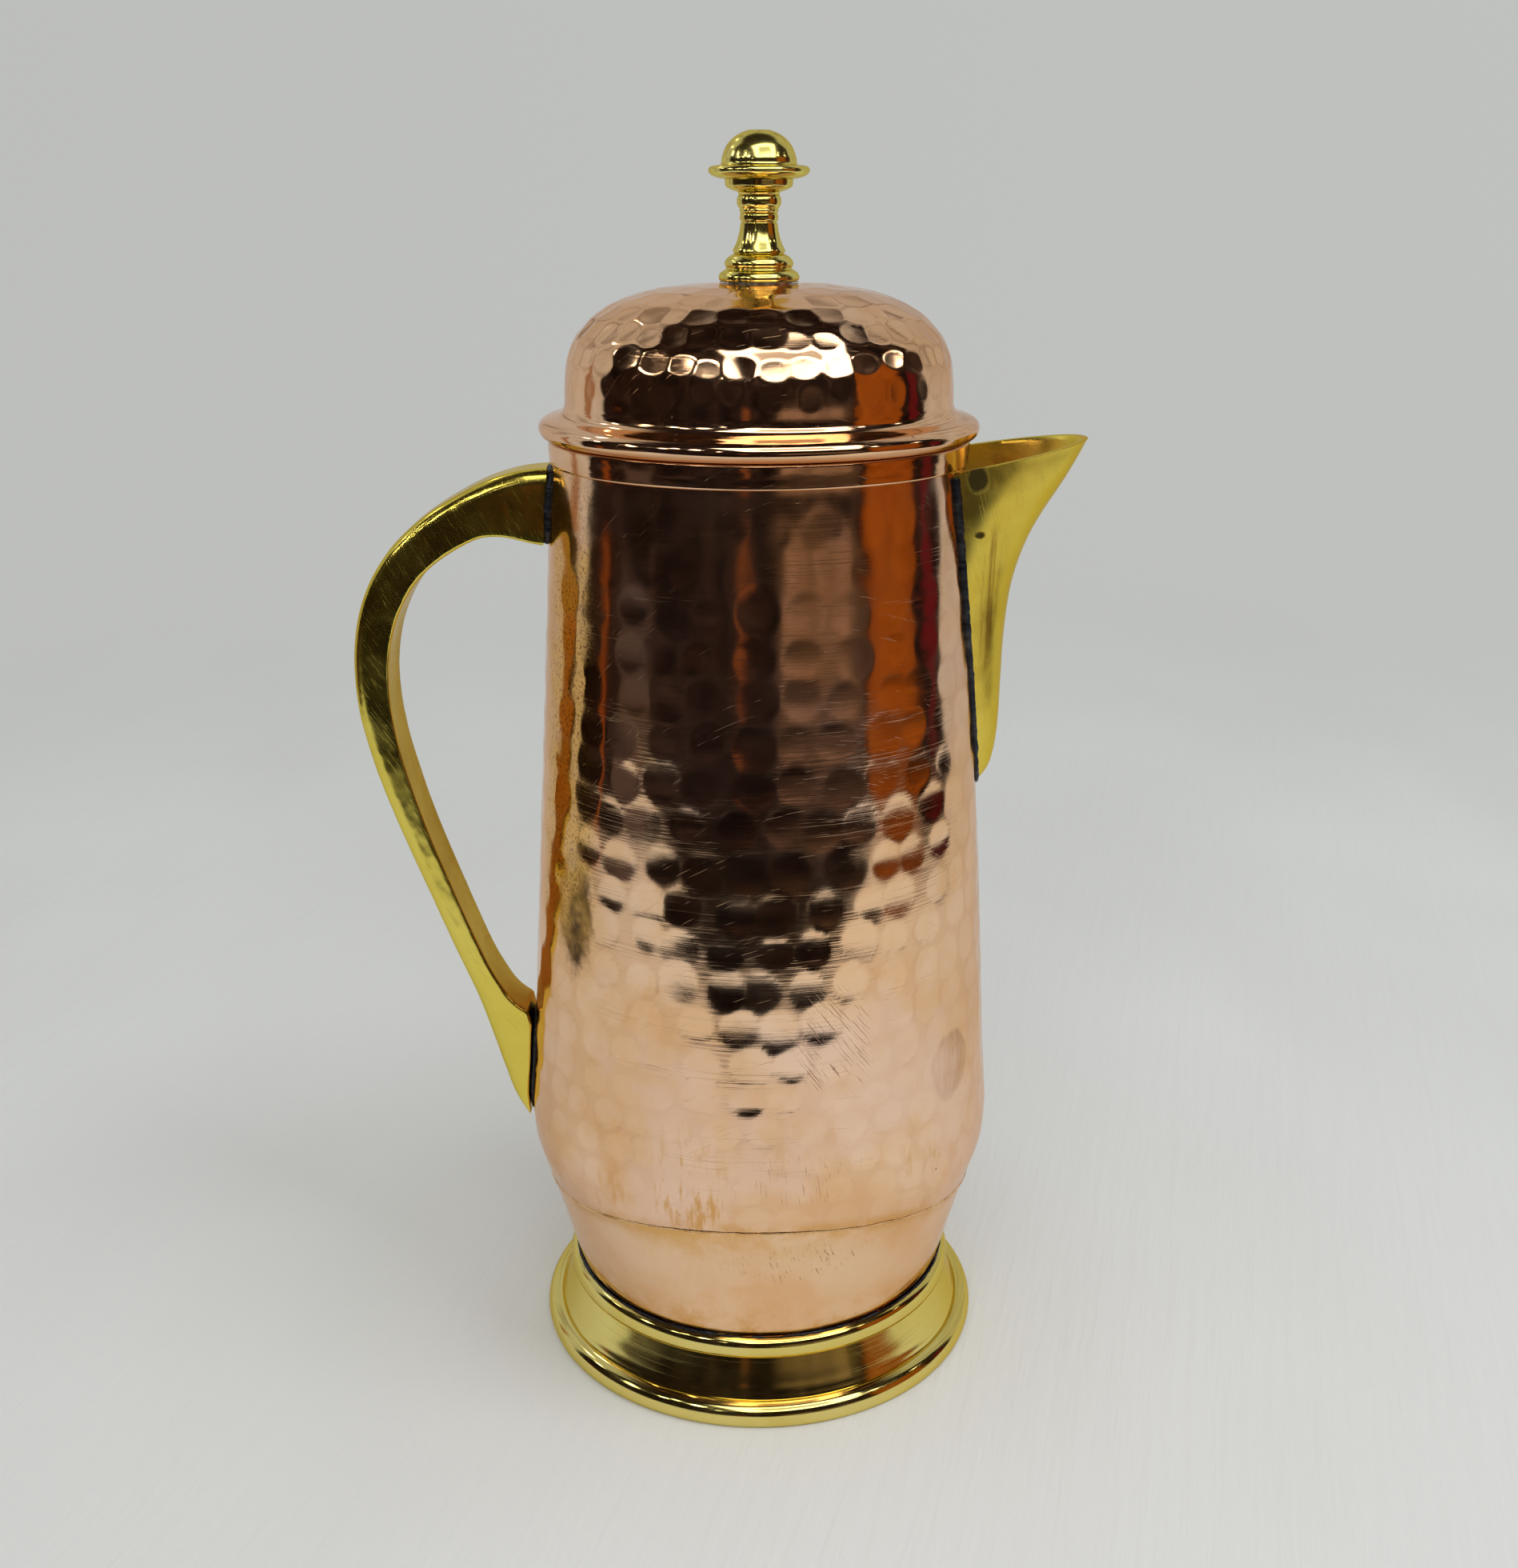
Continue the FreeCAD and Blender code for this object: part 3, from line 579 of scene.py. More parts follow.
def lid_marks_and_shade(m, s):
    # painted shade along the ridges between the lid's hammer marks
    ridge_shade_layer(m, s, 0.35)
    z = m.xyz()[2]
    # painted shade: below z 239.4 mm, on the underside of the flange's roll, the lid is mixed to a darker orange-brown
    # and made rougher, partly tarnish
    n = m.noise(m.mapping(loc=(1, 4, 7)), scale=90, detail=4, rough=0.6)
    k = m.math("MULTIPLY", m.ramp(m.math("MULTIPLY_ADD", n, 0.0006, z), 0.2394, 0.2385), 0.85)
    s["col"] = m.mix(k, s["col"], (0.56, 0.26, 0.11))
    s["rough"] = m.math("MULTIPLY_ADD", k, 0.10, s["rough"])
    tone = m.noise(m.mapping(loc=(6, 1, 2)), scale=34, detail=4, rough=0.65)
    s["col"] = m.mix(m.ramp(tone, 0.46, 0.68, 0.0, 0.45), s["col"], (0.74, 0.42, 0.24))


def body_marks_and_shade(m, s):
    """Marks of use and making at their places on the body, and painted shade along the ridges between hammer marks."""
    ridge_shade_layer(m, s, 0.22)
    col, rough, h = s["col"], s["rough"], s["h"]
    p = m.xyz()
    # lands between the marks keep the brushing; the marks themselves are paler
    at = m.n("Attribute")
    at.attribute_name = "dent"
    land = m.math("SUBTRACT", 1.0, at.outputs["Fac"])
    col = m.mix(m.math("MULTIPLY", land, 0.40), col, (0.80, 0.46, 0.24))
    rough = m.math("MULTIPLY_ADD", land, 0.045, rough)
    lines = m.streaks(34, 0.75, detail=3, loc=(3, 8, 1))
    mid = m.math("MULTIPLY", m.ramp(p[2], 0.066, 0.09), m.ramp(p[2], 0.215, 0.17, 0.25, 1.0))
    patch = m.ramp(m.noise(m.mapping(scale=(1, 1, 1.6), loc=(2, 9, 9)), scale=26, detail=2), 0.36, 0.58, 0.15, 1.0)
    lk = m.math("MULTIPLY", m.math("MULTIPLY_ADD", land, 0.75, 0.25), m.math("MULTIPLY", mid, patch))
    h = m.math("MULTIPLY_ADD", m.math("MULTIPLY", lines, lk), 2.4, h)
    # stain along the seam
    seam = m.math("MULTIPLY_ADD", m.math("SUBTRACT", m.math("MULTIPLY", p[1], p[1]), m.math("MULTIPLY", p[0], p[0])), 0.0053 / 0.058 ** 2, 0.0517)
    zrel = m.math("SUBTRACT", p[2], seam)
    sn = m.noise(m.mapping(loc=(5, 5, 1)), scale=75, detail=5, rough=0.7)
    sk = m.math("MULTIPLY", m.ramp(m.math("ABSOLUTE", zrel), 0.0036, 0.0005), m.ramp(sn, 0.34, 0.58))
    col = m.mix(m.math("MULTIPLY", sk, 0.75), col, (0.74, 0.38, 0.10))
    # heat-darkened patch beside the handle, drawn in vertical strokes
    strokes = m.streaks(7, 0.55, axis="x", detail=4, rot=(0, 0.18, 0))
    dark = m.blob((-44.0, -34.6, 129.5), (6.0, 7.5, 15.0), soft=0.5, noise_scale=170, amount=0.5, seed=(1, 2, 3))
    dark = m.math("MULTIPLY", dark, m.ramp(strokes, 0.24, 0.42, 0.35, 1.0))
    col = m.mix(m.math("MULTIPLY", dark, 0.96), col, (0.040, 0.018, 0.007))
    rough = m.math("MULTIPLY_ADD", dark, 0.12, rough)
    # golden heat stain with a fine grain, on the handle's side
    ang = m.math("ARCTAN2", p[0], m.math("MULTIPLY", p[1], -1.0))
    grain = m.noise(scale=1300.0, detail=3, rough=0.7)
    area_l = m.math("MULTIPLY", m.ramp(ang, -0.72, -0.86), m.ramp(ang, -1.32, -1.16))
    area_l = m.math("MULTIPLY", area_l, m.math("MULTIPLY", m.ramp(p[2], 0.112, 0.128), m.ramp(m.noise(scale=38, detail=4, rough=0.7), 0.30, 0.52)))
    col = m.mix(m.math("MULTIPLY", area_l, 0.85), col, (0.84, 0.49, 0.13))
    col = m.mix(m.math("MULTIPLY", m.math("MULTIPLY", area_l, m.ramp(grain, 0.53, 0.61)), 0.85), col, (0.26, 0.11, 0.03))
    # brown, rubbed spot on the right
    brown = m.blob((46.6, -34.4, 88.8), (7.2, 8.5, 9.0), soft=0.2, noise_scale=80, amount=0.45, seed=(4, 4, 1))
    brown = m.math("MULTIPLY", brown, m.ramp(m.streaks(7, 1.2, axis="x", detail=4, loc=(7, 2, 2)), 0.30, 0.60, 0.45, 1.0))
    col = m.mix(m.math("MULTIPLY", brown, 0.72), col, (0.50, 0.25, 0.12))
    # golden-brown runs towards the seam
    runs = m.streaks(11, 2.4, axis="x", detail=5, loc=(2, 5, 5))
    pink = m.noise(m.mapping(loc=(2, 8, 3)), scale=20, detail=4, rough=0.6)
    col = m.mix(m.ramp(pink, 0.44, 0.62, 0.0, 0.6), col, (0.94, 0.66, 0.52))
    lowz = m.math("MULTIPLY", m.ramp(p[2], 0.092, 0.070), m.ramp(runs, 0.50, 0.66))
    here = m.blob((-17.0, -56.0, 68.0), (9.0, 9.0, 16.0), soft=0.8, noise_scale=60, amount=0.5, seed=(2, 2, 6))
    lowz = m.math("MULTIPLY", lowz, m.math("MAXIMUM", here, m.ramp(m.noise(m.mapping(loc=(4, 8, 8)), scale=24, detail=2), 0.56, 0.68, 0.0, 0.55)))
    col = m.mix(m.math("MULTIPLY", lowz, 0.80), col, (0.72, 0.36, 0.08))
    # diagonal scratch field right of the middle, low
    field = m.blob((18.0, -54.5, 104.0), (8.5, 9.0, 13.0), soft=0.7, noise_scale=120, amount=0.4, seed=(9, 2, 2))
    d1 = m.ramp(m.streaks(11, 0.28, axis="x", detail=2, rot=(0, 0.62, 0), loc=(4, 4, 4)), 0.60, 0.68)
    d1 = m.math("MULTIPLY", d1, field)
    field2 = m.blob((8.0, -58.0, 70.0), (17.0, 9.0, 7.0), soft=0.7, noise_scale=120, amount=0.4, seed=(5, 2, 8))
    d2 = m.ramp(m.streaks(6, 0.3, axis="x", detail=2, rot=(0, 0.15, 0), loc=(1, 4, 9)), 0.62, 0.70)
    d2 = m.math("MULTIPLY", d2, field2)
    marks = m.math("MAXIMUM", d1, d2)
    col = m.mix(m.math("MULTIPLY", marks, 0.6), col, (0.42, 0.22, 0.10))
    rough = m.math("MULTIPLY_ADD", marks, 0.25, rough)
    h = m.math("MULTIPLY_ADD", marks, -1.2, h)
    # tarnish that gathers in the lower half
    veil = m.noise(m.mapping(loc=(1, 9, 4)), scale=48, detail=6, rough=0.7)
    lo = m.math("MULTIPLY", m.ramp(p[2], 0.13, 0.07), m.ramp(veil, 0.5, 0.72))
    col = m.mix(m.math("MULTIPLY", lo, 0.35), col, (0.70, 0.36, 0.13))
    s["col"], s["rough"], s["h"] = col, rough, h


def cup_marks(m, s):
    col = s["col"]
    p = m.xyz()
    pale = m.noise(m.mapping(loc=(8, 5, 1)), scale=30, detail=4, rough=0.6)
    col = m.mix(m.ramp(pale, 0.40, 0.64, 0.0, 0.6), col, (0.97, 0.72, 0.50))
    seam = m.math("MULTIPLY_ADD", m.math("SUBTRACT", m.math("MULTIPLY", p[1], p[1]), m.math("MULTIPLY", p[0], p[0])), 0.0053 / 0.058 ** 2, 0.0517)
    zrel = m.math("SUBTRACT", p[2], seam)
    sn = m.noise(m.mapping(loc=(5, 5, 1)), scale=75, detail=5, rough=0.7)
    sk = m.math("MULTIPLY", m.ramp(m.math("ABSOLUTE", zrel), 0.0045, 0.0006), m.ramp(sn, 0.36, 0.60))
    col = m.mix(m.math("MULTIPLY", sk, 0.65), col, (0.76, 0.39, 0.09))
    r = m.noise(m.mapping(loc=(2, 2, 6)), scale=42, detail=5, rough=0.7)
    up = m.math("MULTIPLY", m.ramp(p[2], 0.042, 0.054), m.ramp(r, 0.42, 0.66))
    col = m.mix(m.math("MULTIPLY", up, 0.75), col, (0.80, 0.44, 0.12))
    r2 = m.noise(m.mapping(loc=(5, 1, 6)), scale=55, detail=5, rough=0.7)
    lowm = m.math("MULTIPLY", m.ramp(p[2], 0.034, 0.022), m.ramp(r2, 0.42, 0.60))
    col = m.mix(m.math("MULTIPLY", lowm, 0.8), col, (0.76, 0.38, 0.10))
    edge = m.math("MULTIPLY", m.ramp(p[2], 0.0235, 0.0212), m.ramp(m.noise(scale=150, detail=4, rough=0.7), 0.40, 0.60))
    col = m.mix(m.math("MULTIPLY", edge, 0.7), col, (0.30, 0.12, 0.03))
    d = m.blob((10.0, -53.5, 46.0), (17.0, 9.0, 6.0), soft=0.6, noise_scale=120, amount=0.4, seed=(3, 1, 8))
    t = m.ramp(m.streaks(4, 0.35, axis="x", detail=2, rot=(0, 0.3, 0), loc=(6, 4, 9)), 0.62, 0.70)
    t = m.math("MULTIPLY", t, d)
    col = m.mix(m.math("MULTIPLY", t, 0.85), col, (0.30, 0.12, 0.04))
    s["col"] = col
    s["h"] = m.math("MULTIPLY_ADD", t, -0.8, s["h"])


def band_edge_shade(m, s):
    """The hoop's two edges are darker and more orange than its face: painted shade at the top edge under the lid's
    flange and at the lower curl.
    """
    z = m.xyz()[2]
    k = m.math("MAXIMUM", m.ramp(z, 0.2363, 0.2368), m.ramp(z, 0.23185, 0.2316))
    s["col"] = m.mix(m.math("MULTIPLY", k, 0.85), s["col"], (0.50, 0.22, 0.09))
    s["rough"] = m.math("MULTIPLY_ADD", k, 0.14, s["rough"])


def brass(name, rough_lo=0.05, rough_hi=0.11, tint=(0.84, 0.655, 0.115), tint2=(0.78, 0.56, 0.07), lines=None, grain=0.5, extra=None):
    m = Mat(name)
    cloud = m.noise(scale=30.0, detail=5, rough=0.6, dist=0.5)
    cloud2 = m.noise(m.mapping(loc=(4, 1, 2)), scale=110.0, detail=4, rough=0.5)
    col = m.mix(m.ramp(cloud, 0.35, 0.7), tint, tint2)
    rough = m.ramp(cloud2, 0.3, 0.75, rough_lo, rough_hi)
    h = m.math("MULTIPLY", m.noise(scale=700, detail=3), 0.2 * grain)
    if lines:
        ln = m.streaks(*lines[:2], axis=lines[2], rot=lines[3], detail=2)
        g = m.ramp(ln, 0.58, 0.72)
        rough = m.math("MULTIPLY_ADD", g, lines[4], rough)
        h = m.math("MULTIPLY_ADD", g, -lines[4] * 2.2, h)
    h1 = m.ramp(m.streaks(8, 0.09, detail=1, rot=(0.9, 0.9, 0.4), loc=(2, 2, 9), axis="x"), 0.73, 0.78)
    rough = m.math("MULTIPLY_ADD", h1, 0.14, rough)
    cell = m.voronoi(scale=170.0)
    pick = m.ramp(m.noise(m.mapping(loc=(7, 3, 1)), scale=80.0, detail=1), 0.60, 0.66)
    speck = m.math("MULTIPLY", m.ramp(cell, 0.06, 0.03), pick)
    col = m.mix(m.math("MULTIPLY", speck, 0.7), col, (0.10, 0.06, 0.01))
    s = {"col": col, "rough": rough, "h": h}
    if extra:
        extra(m, s)
    nb = m.bump(m.math("MULTIPLY_ADD", cloud2, 1.2 * min(grain, 1.0), s["h"]), 0.00002)
    m.principled(s["col"], 1.0, s["rough"], nb, Specular_Tint=(0.86, 0.74, 0.42, 1.0))
    return m


def spout_marks(m, s):
    """Burnt corner at the joint, a small dark pit, and brown runs down the fold."""
    n = m.noise(m.mapping(loc=(4, 4, 4)), scale=300, detail=4, rough=0.7)
    c1 = m.blob((50.0, -19.8, 229.4), (2.6, 4.0, 3.0), soft=0.5, noise_scale=300, amount=0.3, seed=(3, 3, 1))
    c2 = m.blob((51.0, -17.4, 216.4), (1.3, 3.0, 0.9), soft=0.5, noise_scale=500, amount=0.3, seed=(1, 3, 1))
    burn = m.math("MAXIMUM", c1, c2)
    s["col"] = m.mix(m.math("MULTIPLY", burn, 0.93), s["col"], (0.04, 0.03, 0.015))
    run = m.math("MULTIPLY", m.blob((54.6, -15.0, 199.0), (2.2, 6.0, 19.0), soft=0.6, noise_scale=90, amount=0.3, seed=(2, 7, 1)),
                 m.ramp(m.streaks(30, 1.1, axis="x", detail=3, loc=(9, 1, 3)), 0.36, 0.60))
    s["col"] = m.mix(m.math("MULTIPLY", run, 0.75), s["col"], (0.36, 0.19, 0.03))
    s["rough"] = m.math("MULTIPLY_ADD", burn, 0.3, s["rough"])
    s["h"] = m.math("MULTIPLY_ADD", m.math("MULTIPLY", burn, n), 3.0, s["h"])


def solder_mat():
    m = Mat("solder_burnt")
    n = m.noise(scale=260, detail=5, rough=0.65)
    n2 = m.noise(m.mapping(loc=(1, 1, 1)), scale=900, detail=3)
    col = m.curve(n, [(0.0, (0.008, 0.009, 0.011)), (0.5, (0.018, 0.020, 0.026)), (0.72, (0.06, 0.06, 0.065)), (1.0, (0.28, 0.22, 0.12))])
    rough = m.ramp(n2, 0.3, 0.7, 0.22, 0.5)
    h = m.math("MULTIPLY_ADD", n2, 0.4, n)
    m.principled(col, 0.7, rough, m.bump(h, 0.0003, strength=0.6))
    return m


copper_body = copper("copper_hammered", extra=body_marks_and_shade)
copper_cup = copper("copper_cup", brushed=0.55, stain=0.8, extra=cup_marks)
copper_lid = copper("copper_lid", brushed=0.6, stain=0.5, extra=lid_marks_and_shade)
copper_plain = copper("copper_plain", brushed=0.7, stain=0.5)
brass_foot = brass("brass_spun", 0.08, 0.14, tint=(0.83, 0.70, 0.24), tint2=(0.78, 0.62, 0.16), lines=(60, 0.2, "z", (0, 0, 0), 0.05))
brass_spout = brass("brass_spout", 0.19, 0.30, lines=(14, 0.25, "x", (0, 0.25, 0), 0.10), extra=spout_marks)
brass_inner = brass("brass_spout_inner", 0.26, 0.40, tint=(0.86, 0.72, 0.15), tint2=(0.80, 0.62, 0.09), lines=(5, 0.25, "x", (0, 0.9, 0), 0.10), grain=1.6)
brass_handle = brass("brass_cast", 0.13, 0.22, tint=(0.82, 0.67, 0.13), tint2=(0.76, 0.60, 0.09), lines=(5, 0.22, "x", (0, 0.55, 0), 0.12), grain=1.2)
brass_finial = brass("brass_turned", 0.13, 0.19, tint=(0.86, 0.75, 0.25), tint2=(0.82, 0.70, 0.18), grain=0.08)
# painted shade and painted reflection: a darker, browner copy of the cast brass for the handle's inner face, which
# faces the copper wall
handle_inner_shade = brass("brass_cast_inner_shade", 0.16, 0.28, tint=(0.62, 0.40, 0.10), tint2=(0.46, 0.25, 0.05), lines=(5, 0.22, "x", (0, 0.55, 0), 0.12), grain=1.2)
copper_band = copper("copper_hoop", brushed=0.7, stain=0.5, extra=band_edge_shade)
solder = solder_mat()
steel = Mat("steel_plated")
steel.principled(steel.mix(steel.noise(scale=400, detail=4), (0.72, 0.72, 0.70), (0.52, 0.52, 0.52)), 1.0,
                 steel.ramp(steel.noise(scale=900, detail=3), 0.3, 0.7, 0.18, 0.36))

# ---------------------------------------------------------------------------
# vessel
# ---------------------------------------------------------------------------
VP = [(49.0, 20.7), (49.85, 24.0), (50.95, 28.0), (52.6, 34.0), (54.25, 40.0), (55.95, 46.0), (57.2, 50.0),
      (58.25, 53.0), (59.1, 56.0), (59.68, 59.0), (59.98, 62.0), (60.0, 65.0), (59.75, 69.0), (59.25, 75.0),
      (58.62, 84.0), (57.98, 95.0), (57.12, 110.0), (55.88, 130.0), (54.52, 150.0), (53.25, 170.0), (52.02, 190.0),
      (50.78, 210.0), (49.98, 222.0), (49.5, 227.0), (49.08, 231.0), (49.0, 233.5), (49.0, 236.1)]
WALL = 1.2
_p = np.array(VP)
_t = np.concatenate([[0], np.cumsum(np.hypot(*np.diff(_p, axis=0).T))])


def vessel_r(z):
    return np.interp(z, _zz, _rr)


_tt = np.linspace(0, _t[-1], 1200)
_rr, _zz = cubic(_t, _p[:, 0], _tt), cubic(_t, _p[:, 1], _tt)


def seam_z(phi):
    return 51.7 + 5.3 * np.cos(2 * phi)


def hammer(phi, z, rows, pitch, rad, depth, seed, zmap):
    """Height field of hammer marks in rows on a grid of angles and heights, and where they are."""
    g = np.random.default_rng(seed)
    h = np.zeros((len(z), len(phi)))
    inside = np.zeros(h.shape)
    for j, zc in enumerate(rows):
        rc = vessel_r(zc)
        n = max(6, int(round(2 * math.pi * rc / pitch)))
        off = g.uniform(0, 2 * math.pi)
        for i in range(n):
            a = off + 2 * math.pi * (i + g.uniform(-0.17, 0.17)) / n
            zz = zc + g.normal(0, 0.6)
            r1 = rad * g.uniform(0.86, 1.16)
            d = depth * g.uniform(0.5, 1.35) * zmap(zz)
            asp = g.uniform(0.85, 1.12)
            k = np.abs(z - zz) < r1 * 1.3
            da = (phi - a + math.pi) % (2 * math.pi) - math.pi
            q = np.abs(da) * rc < r1 * 1.3
            if not k.any() or not q.any():
                continue
            kk, qq = np.where(k)[0], np.where(q)[0]
            X = (da[qq] * rc)[None]
            Z = (z[kk] - zz)[:, None] * asp
            tilt = g.normal(0, 0.010)
            tilt2 = g.normal(0, 0.010)
            t2 = (X ** 2 + Z ** 2) / r1 ** 2
            # flat-bottomed mark with a soft shoulder
            e = np.clip(1 - t2, 0, 1)
            mark = -d * (1 - np.clip(t2, 0, 1) ** 1.08) + (tilt * X + tilt2 * Z) * e ** 0.6
            ins = inside[np.ix_(kk, qq)]
            inside[np.ix_(kk, qq)] = np.maximum(ins, np.clip((1.05 - np.sqrt(t2)) / 0.22, 0, 1))
            sub = h[np.ix_(kk, qq)]
            h[np.ix_(kk, qq)] = np.minimum(sub, mark)
    return h, inside


def build_body():
    seg = 440
    phi = np.linspace(-math.pi, math.pi, seg, endpoint=False)
    # stations along the wall from seam to mouth
    nz = 172
    u = np.linspace(0, 1, nz)
    zfix = 46.0 + (236.1 - 46.0) * u
    rows = np.arange(51.0, 232.0, 9.6)

    def zmap(z):
        return np.interp(z, [50, 60, 80, 100, 150, 180, 205, 222, 230], [0.7, 0.9, 1.1, 1.3, 1.25, 1.1, 0.9, 0.6, 0.25])

    h, dents = hammer(phi, zfix, rows, 10.4, 4.75, 0.135, 7, zmap)
    h += 0.03 * fbm((phi[None] + math.pi) / (2 * math.pi) * 24 + 0 * zfix[:, None], zfix[:, None] / 16.0 + 0 * phi[None], 5, 24, 3) - 0.03
    # the outermost points stay on the true outline
    h -= h.max()
    # ridges between the marks, where the material paints a darker line of shade and raises the roughness
    dz = zfix[1] - zfix[0]
    dx = 2 * math.pi * 57.0 / seg
    lap = (np.roll(h, 1, 1) + np.roll(h, -1, 1) - 2 * h) / dx ** 2
    lap[1:-1] += (h[2:] + h[:-2] - 2 * h[1:-1]) / dz ** 2
    ridge = np.clip(-lap / 0.06, 0, 1)
    dents = dents * zmap(zfix)[:, None]
    # squeeze the lowest rows so that the edge follows the seam
    zs = seam_z(phi)[None]
    z = zfix[:, None] + 0 * phi[None]
    blend = np.clip((95.0 - zfix[:, None]) / (95.0 - 46.0), 0, 1)
    z = z + blend * (zs - 46.0)
    r = vessel_r(z)
    dr = (vessel_r(z + 0.3) - vessel_r(z - 0.3)) / 0.6
    nl = np.sqrt(1 + dr ** 2)
    fade = np.clip((236.1 - z) / 6.0, 0, 1)
    hh = h * fade
    ro = r + hh / nl
    zo = z - hh * dr / nl
    # inside
    ni = 42
    sel = np.unique(np.linspace(0, nz - 1, ni).astype(int))
    ri = r[sel] - WALL / nl[sel] + 0.6 * h[sel] * fade[sel]
    zi = z[sel] + WALL * dr[sel] / nl[sel]
    zi[-1] = 236.1
    zi[0] = z[0]
    P = []
    for rr, zz in ((ro, zo), (ri[::-1], zi[::-1])):
        x = rr * np.sin(phi)[None]
        y = -rr * np.cos(phi)[None]
        P.append(np.stack([x, y, zz], 2))
    allp = np.concatenate(P, 0)
    n = allp.shape[0]
    idx = np.arange(n * seg).reshape(n, seg)
    nxt = np.roll(idx, -1, 1)
    up, upn = np.roll(idx, -1, 0), np.roll(nxt, -1, 0)
    faces = np.stack([idx, nxt, upn, up], 2).reshape(-1, 4)
    ob = make_object("body_hammered", allp.reshape(-1, 3) * MM, faces, copper_body, "jug", ("body_shell",), 45)
    for key, val in (("ridge", ridge), ("dent", np.clip(dents, 0, 1))):
        lay = ob.data.attributes.new(key, "FLOAT", "POINT")
        lay.data.foreach_set("value", np.concatenate([val.reshape(-1), np.zeros(n * seg - val.size)]).astype(np.float32))
    # the pour window behind the spout
    win = [(13.5, 227.0), (12.6, 214.0), (11.4, 200.0), (9.2, 188.0), (6.4, 177.0), (3.2, 169.0), (0.0, 166.0)]
    w = spline_pts([(a, b) for a, b in win], 2.0)
    poly = [(a, b) for a, b in w] + [(-a, b) for a, b in w[::-1][1:]]
    vv = [(0.030, a * MM, b * MM) for a, b in poly] + [(0.070, a * MM, b * MM) for a, b in poly]
    k = len(poly)
    ff = [tuple(range(k))[::-1], tuple(range(k, 2 * k))] + [(i, (i + 1) % k, k + (i + 1) % k, k + i) for i in range(k)]
    me = bpy.data.meshes.new("window_cutter")
    me.from_pydata(vv, [], ff)
    bm = bmesh.new()
    bm.from_mesh(me)
    bmesh.ops.recalc_face_normals(bm, faces=bm.faces)
    bm.to_mesh(me)
    bm.free()
    cutter = bpy.data.objects.new("window_cutter", me)
    scene.collection.objects.link(cutter)
    mod = ob.modifiers.new("window", "BOOLEAN")
    mod.operation = "DIFFERENCE"
    mod.object = cutter
    mod.solver = "EXACT"
    dg = bpy.context.evaluated_depsgraph_get()
    new = bpy.data.meshes.new_from_object(ob.evaluated_get(dg))
    ob.modifiers.clear()
    old = ob.data
    ob.data = new
    new.name = "body_hammered"
    bpy.data.meshes.remove(old)
    bpy.data.objects.remove(cutter)
    new.shade_smooth()
    new.set_sharp_from_angle(angle=math.radians(45))
    return ob


body_ob = build_body()


def build_cup():
    seg = 384
    phi = np.linspace(-math.pi, math.pi, seg, endpoint=False)
    top = seam_z(phi)
    nz = 60
    u = np.linspace(0, 1, nz)[:, None]
    z = 20.7 + (top[None] - 20.7) * u
    r = vessel_r(z)
    h = 0.05 * fbm((phi[None] + math.pi) / (2 * math.pi) * 14 + 0 * z, z / 22.0, 31, 14, 3) - 0.05
    r = r + h * np.clip((z - 22) / 6, 0, 1)
    ri = vessel_r(z[::-3]) - WALL * 1.02
    zi = z[::-3] + 0.0
    low_o = np.array([(0, 13.8), (20, 13.8), (40, 13.8), (45.6, 13.8), (47.1, 14.15), (48.3, 15.1), (48.85, 16.3), (49.0, 17.4), (49.0, 19.4)])
    low_i = np.array([(47.8, 20.2), (47.8, 17.4), (47.3, 16.0), (46.4, 15.25), (45.6, 15.0), (40, 15.0), (20, 15.0), (0, 15.0)])
    ring = lambda rr, zz: np.stack([rr * np.sin(phi), -rr * np.cos(phi), zz + 0 * phi], 1)
    rows = [ring(a, b) for a, b in low_o[1:]]
    rows += [ring(r[i], z[i]) for i in range(nz)]
    rows += [ring(ri[i], zi[i]) for i in range(len(ri))]
    rows += [ring(a, b) for a, b in low_i[:-1]]
    V = np.concatenate(rows, 0)
    n = len(rows)
    idx = np.arange(n * seg).reshape(n, seg)
    nxt = np.roll(idx, -1, 1)
    F = np.stack([idx[:-1], nxt[:-1], nxt[1:], idx[1:]], 2).reshape(-1, 4).tolist()
    a = len(V)
    V = np.vstack([V, [[0, 0, 13.8], [0, 0, 15.0]]])
    F += [(a, int(nxt[0, j]), int(idx[0, j])) for j in range(seg)]
    F += [(a + 1, int(idx[-1, j]), int(nxt[-1, j])) for j in range(seg)]
    return make_object("bottom_cup_sheet", V * MM, F, copper_cup, "jug", ("bottom_cup",), 45)


build_cup()


def tube(name, centre, normal, binormal, half_a, half_b, mat, body, replaces, closed=True, around=12, p=2.0):
    """A bead: an oval section carried along a path. half_a is along normal and half_b along binormal."""
    n = len(centre)
    th = np.linspace(0, 2 * math.pi, around, endpoint=False)
    c, s = np.cos(th), np.sin(th)
    c = np.sign(c) * np.abs(c) ** (2 / p)
    s = np.sign(s) * np.abs(s) ** (2 / p)
    pts = centre[:, None] + normal[:, None] * (half_a[:, None] * c[None])[..., None] + binormal[:, None] * (half_b[:, None] * s[None])[..., None]
    V = pts.reshape(-1, 3)
    idx = np.arange(n * around).reshape(n, around)
    nx = np.roll(idx, -1, 1)
    if closed:
        up, un = np.roll(idx, -1, 0), np.roll(nx, -1, 0)
        F = np.stack([idx, nx, un, up], 2).reshape(-1, 4).tolist()
    else:
        F = np.stack([idx[:-1], nx[:-1], nx[1:], idx[1:]], 2).reshape(-1, 4).tolist()
        a = len(V)
        V = np.vstack([V, centre[0], centre[-1]])
        F += [(a, int(nx[0, j]), int(idx[0, j])) for j in range(around)]
        F += [(a + 1, int(idx[-1, j]), int(nx[-1, j])) for j in range(around)]
    return make_object(name, V * MM, F, mat, body, replaces, None)


def rough_line(n, seed, cells, amp):
    t = np.linspace(0, cells, n, endpoint=False)
    return amp * fbm(t, 0 * t + 0.5, seed, cells, 4)


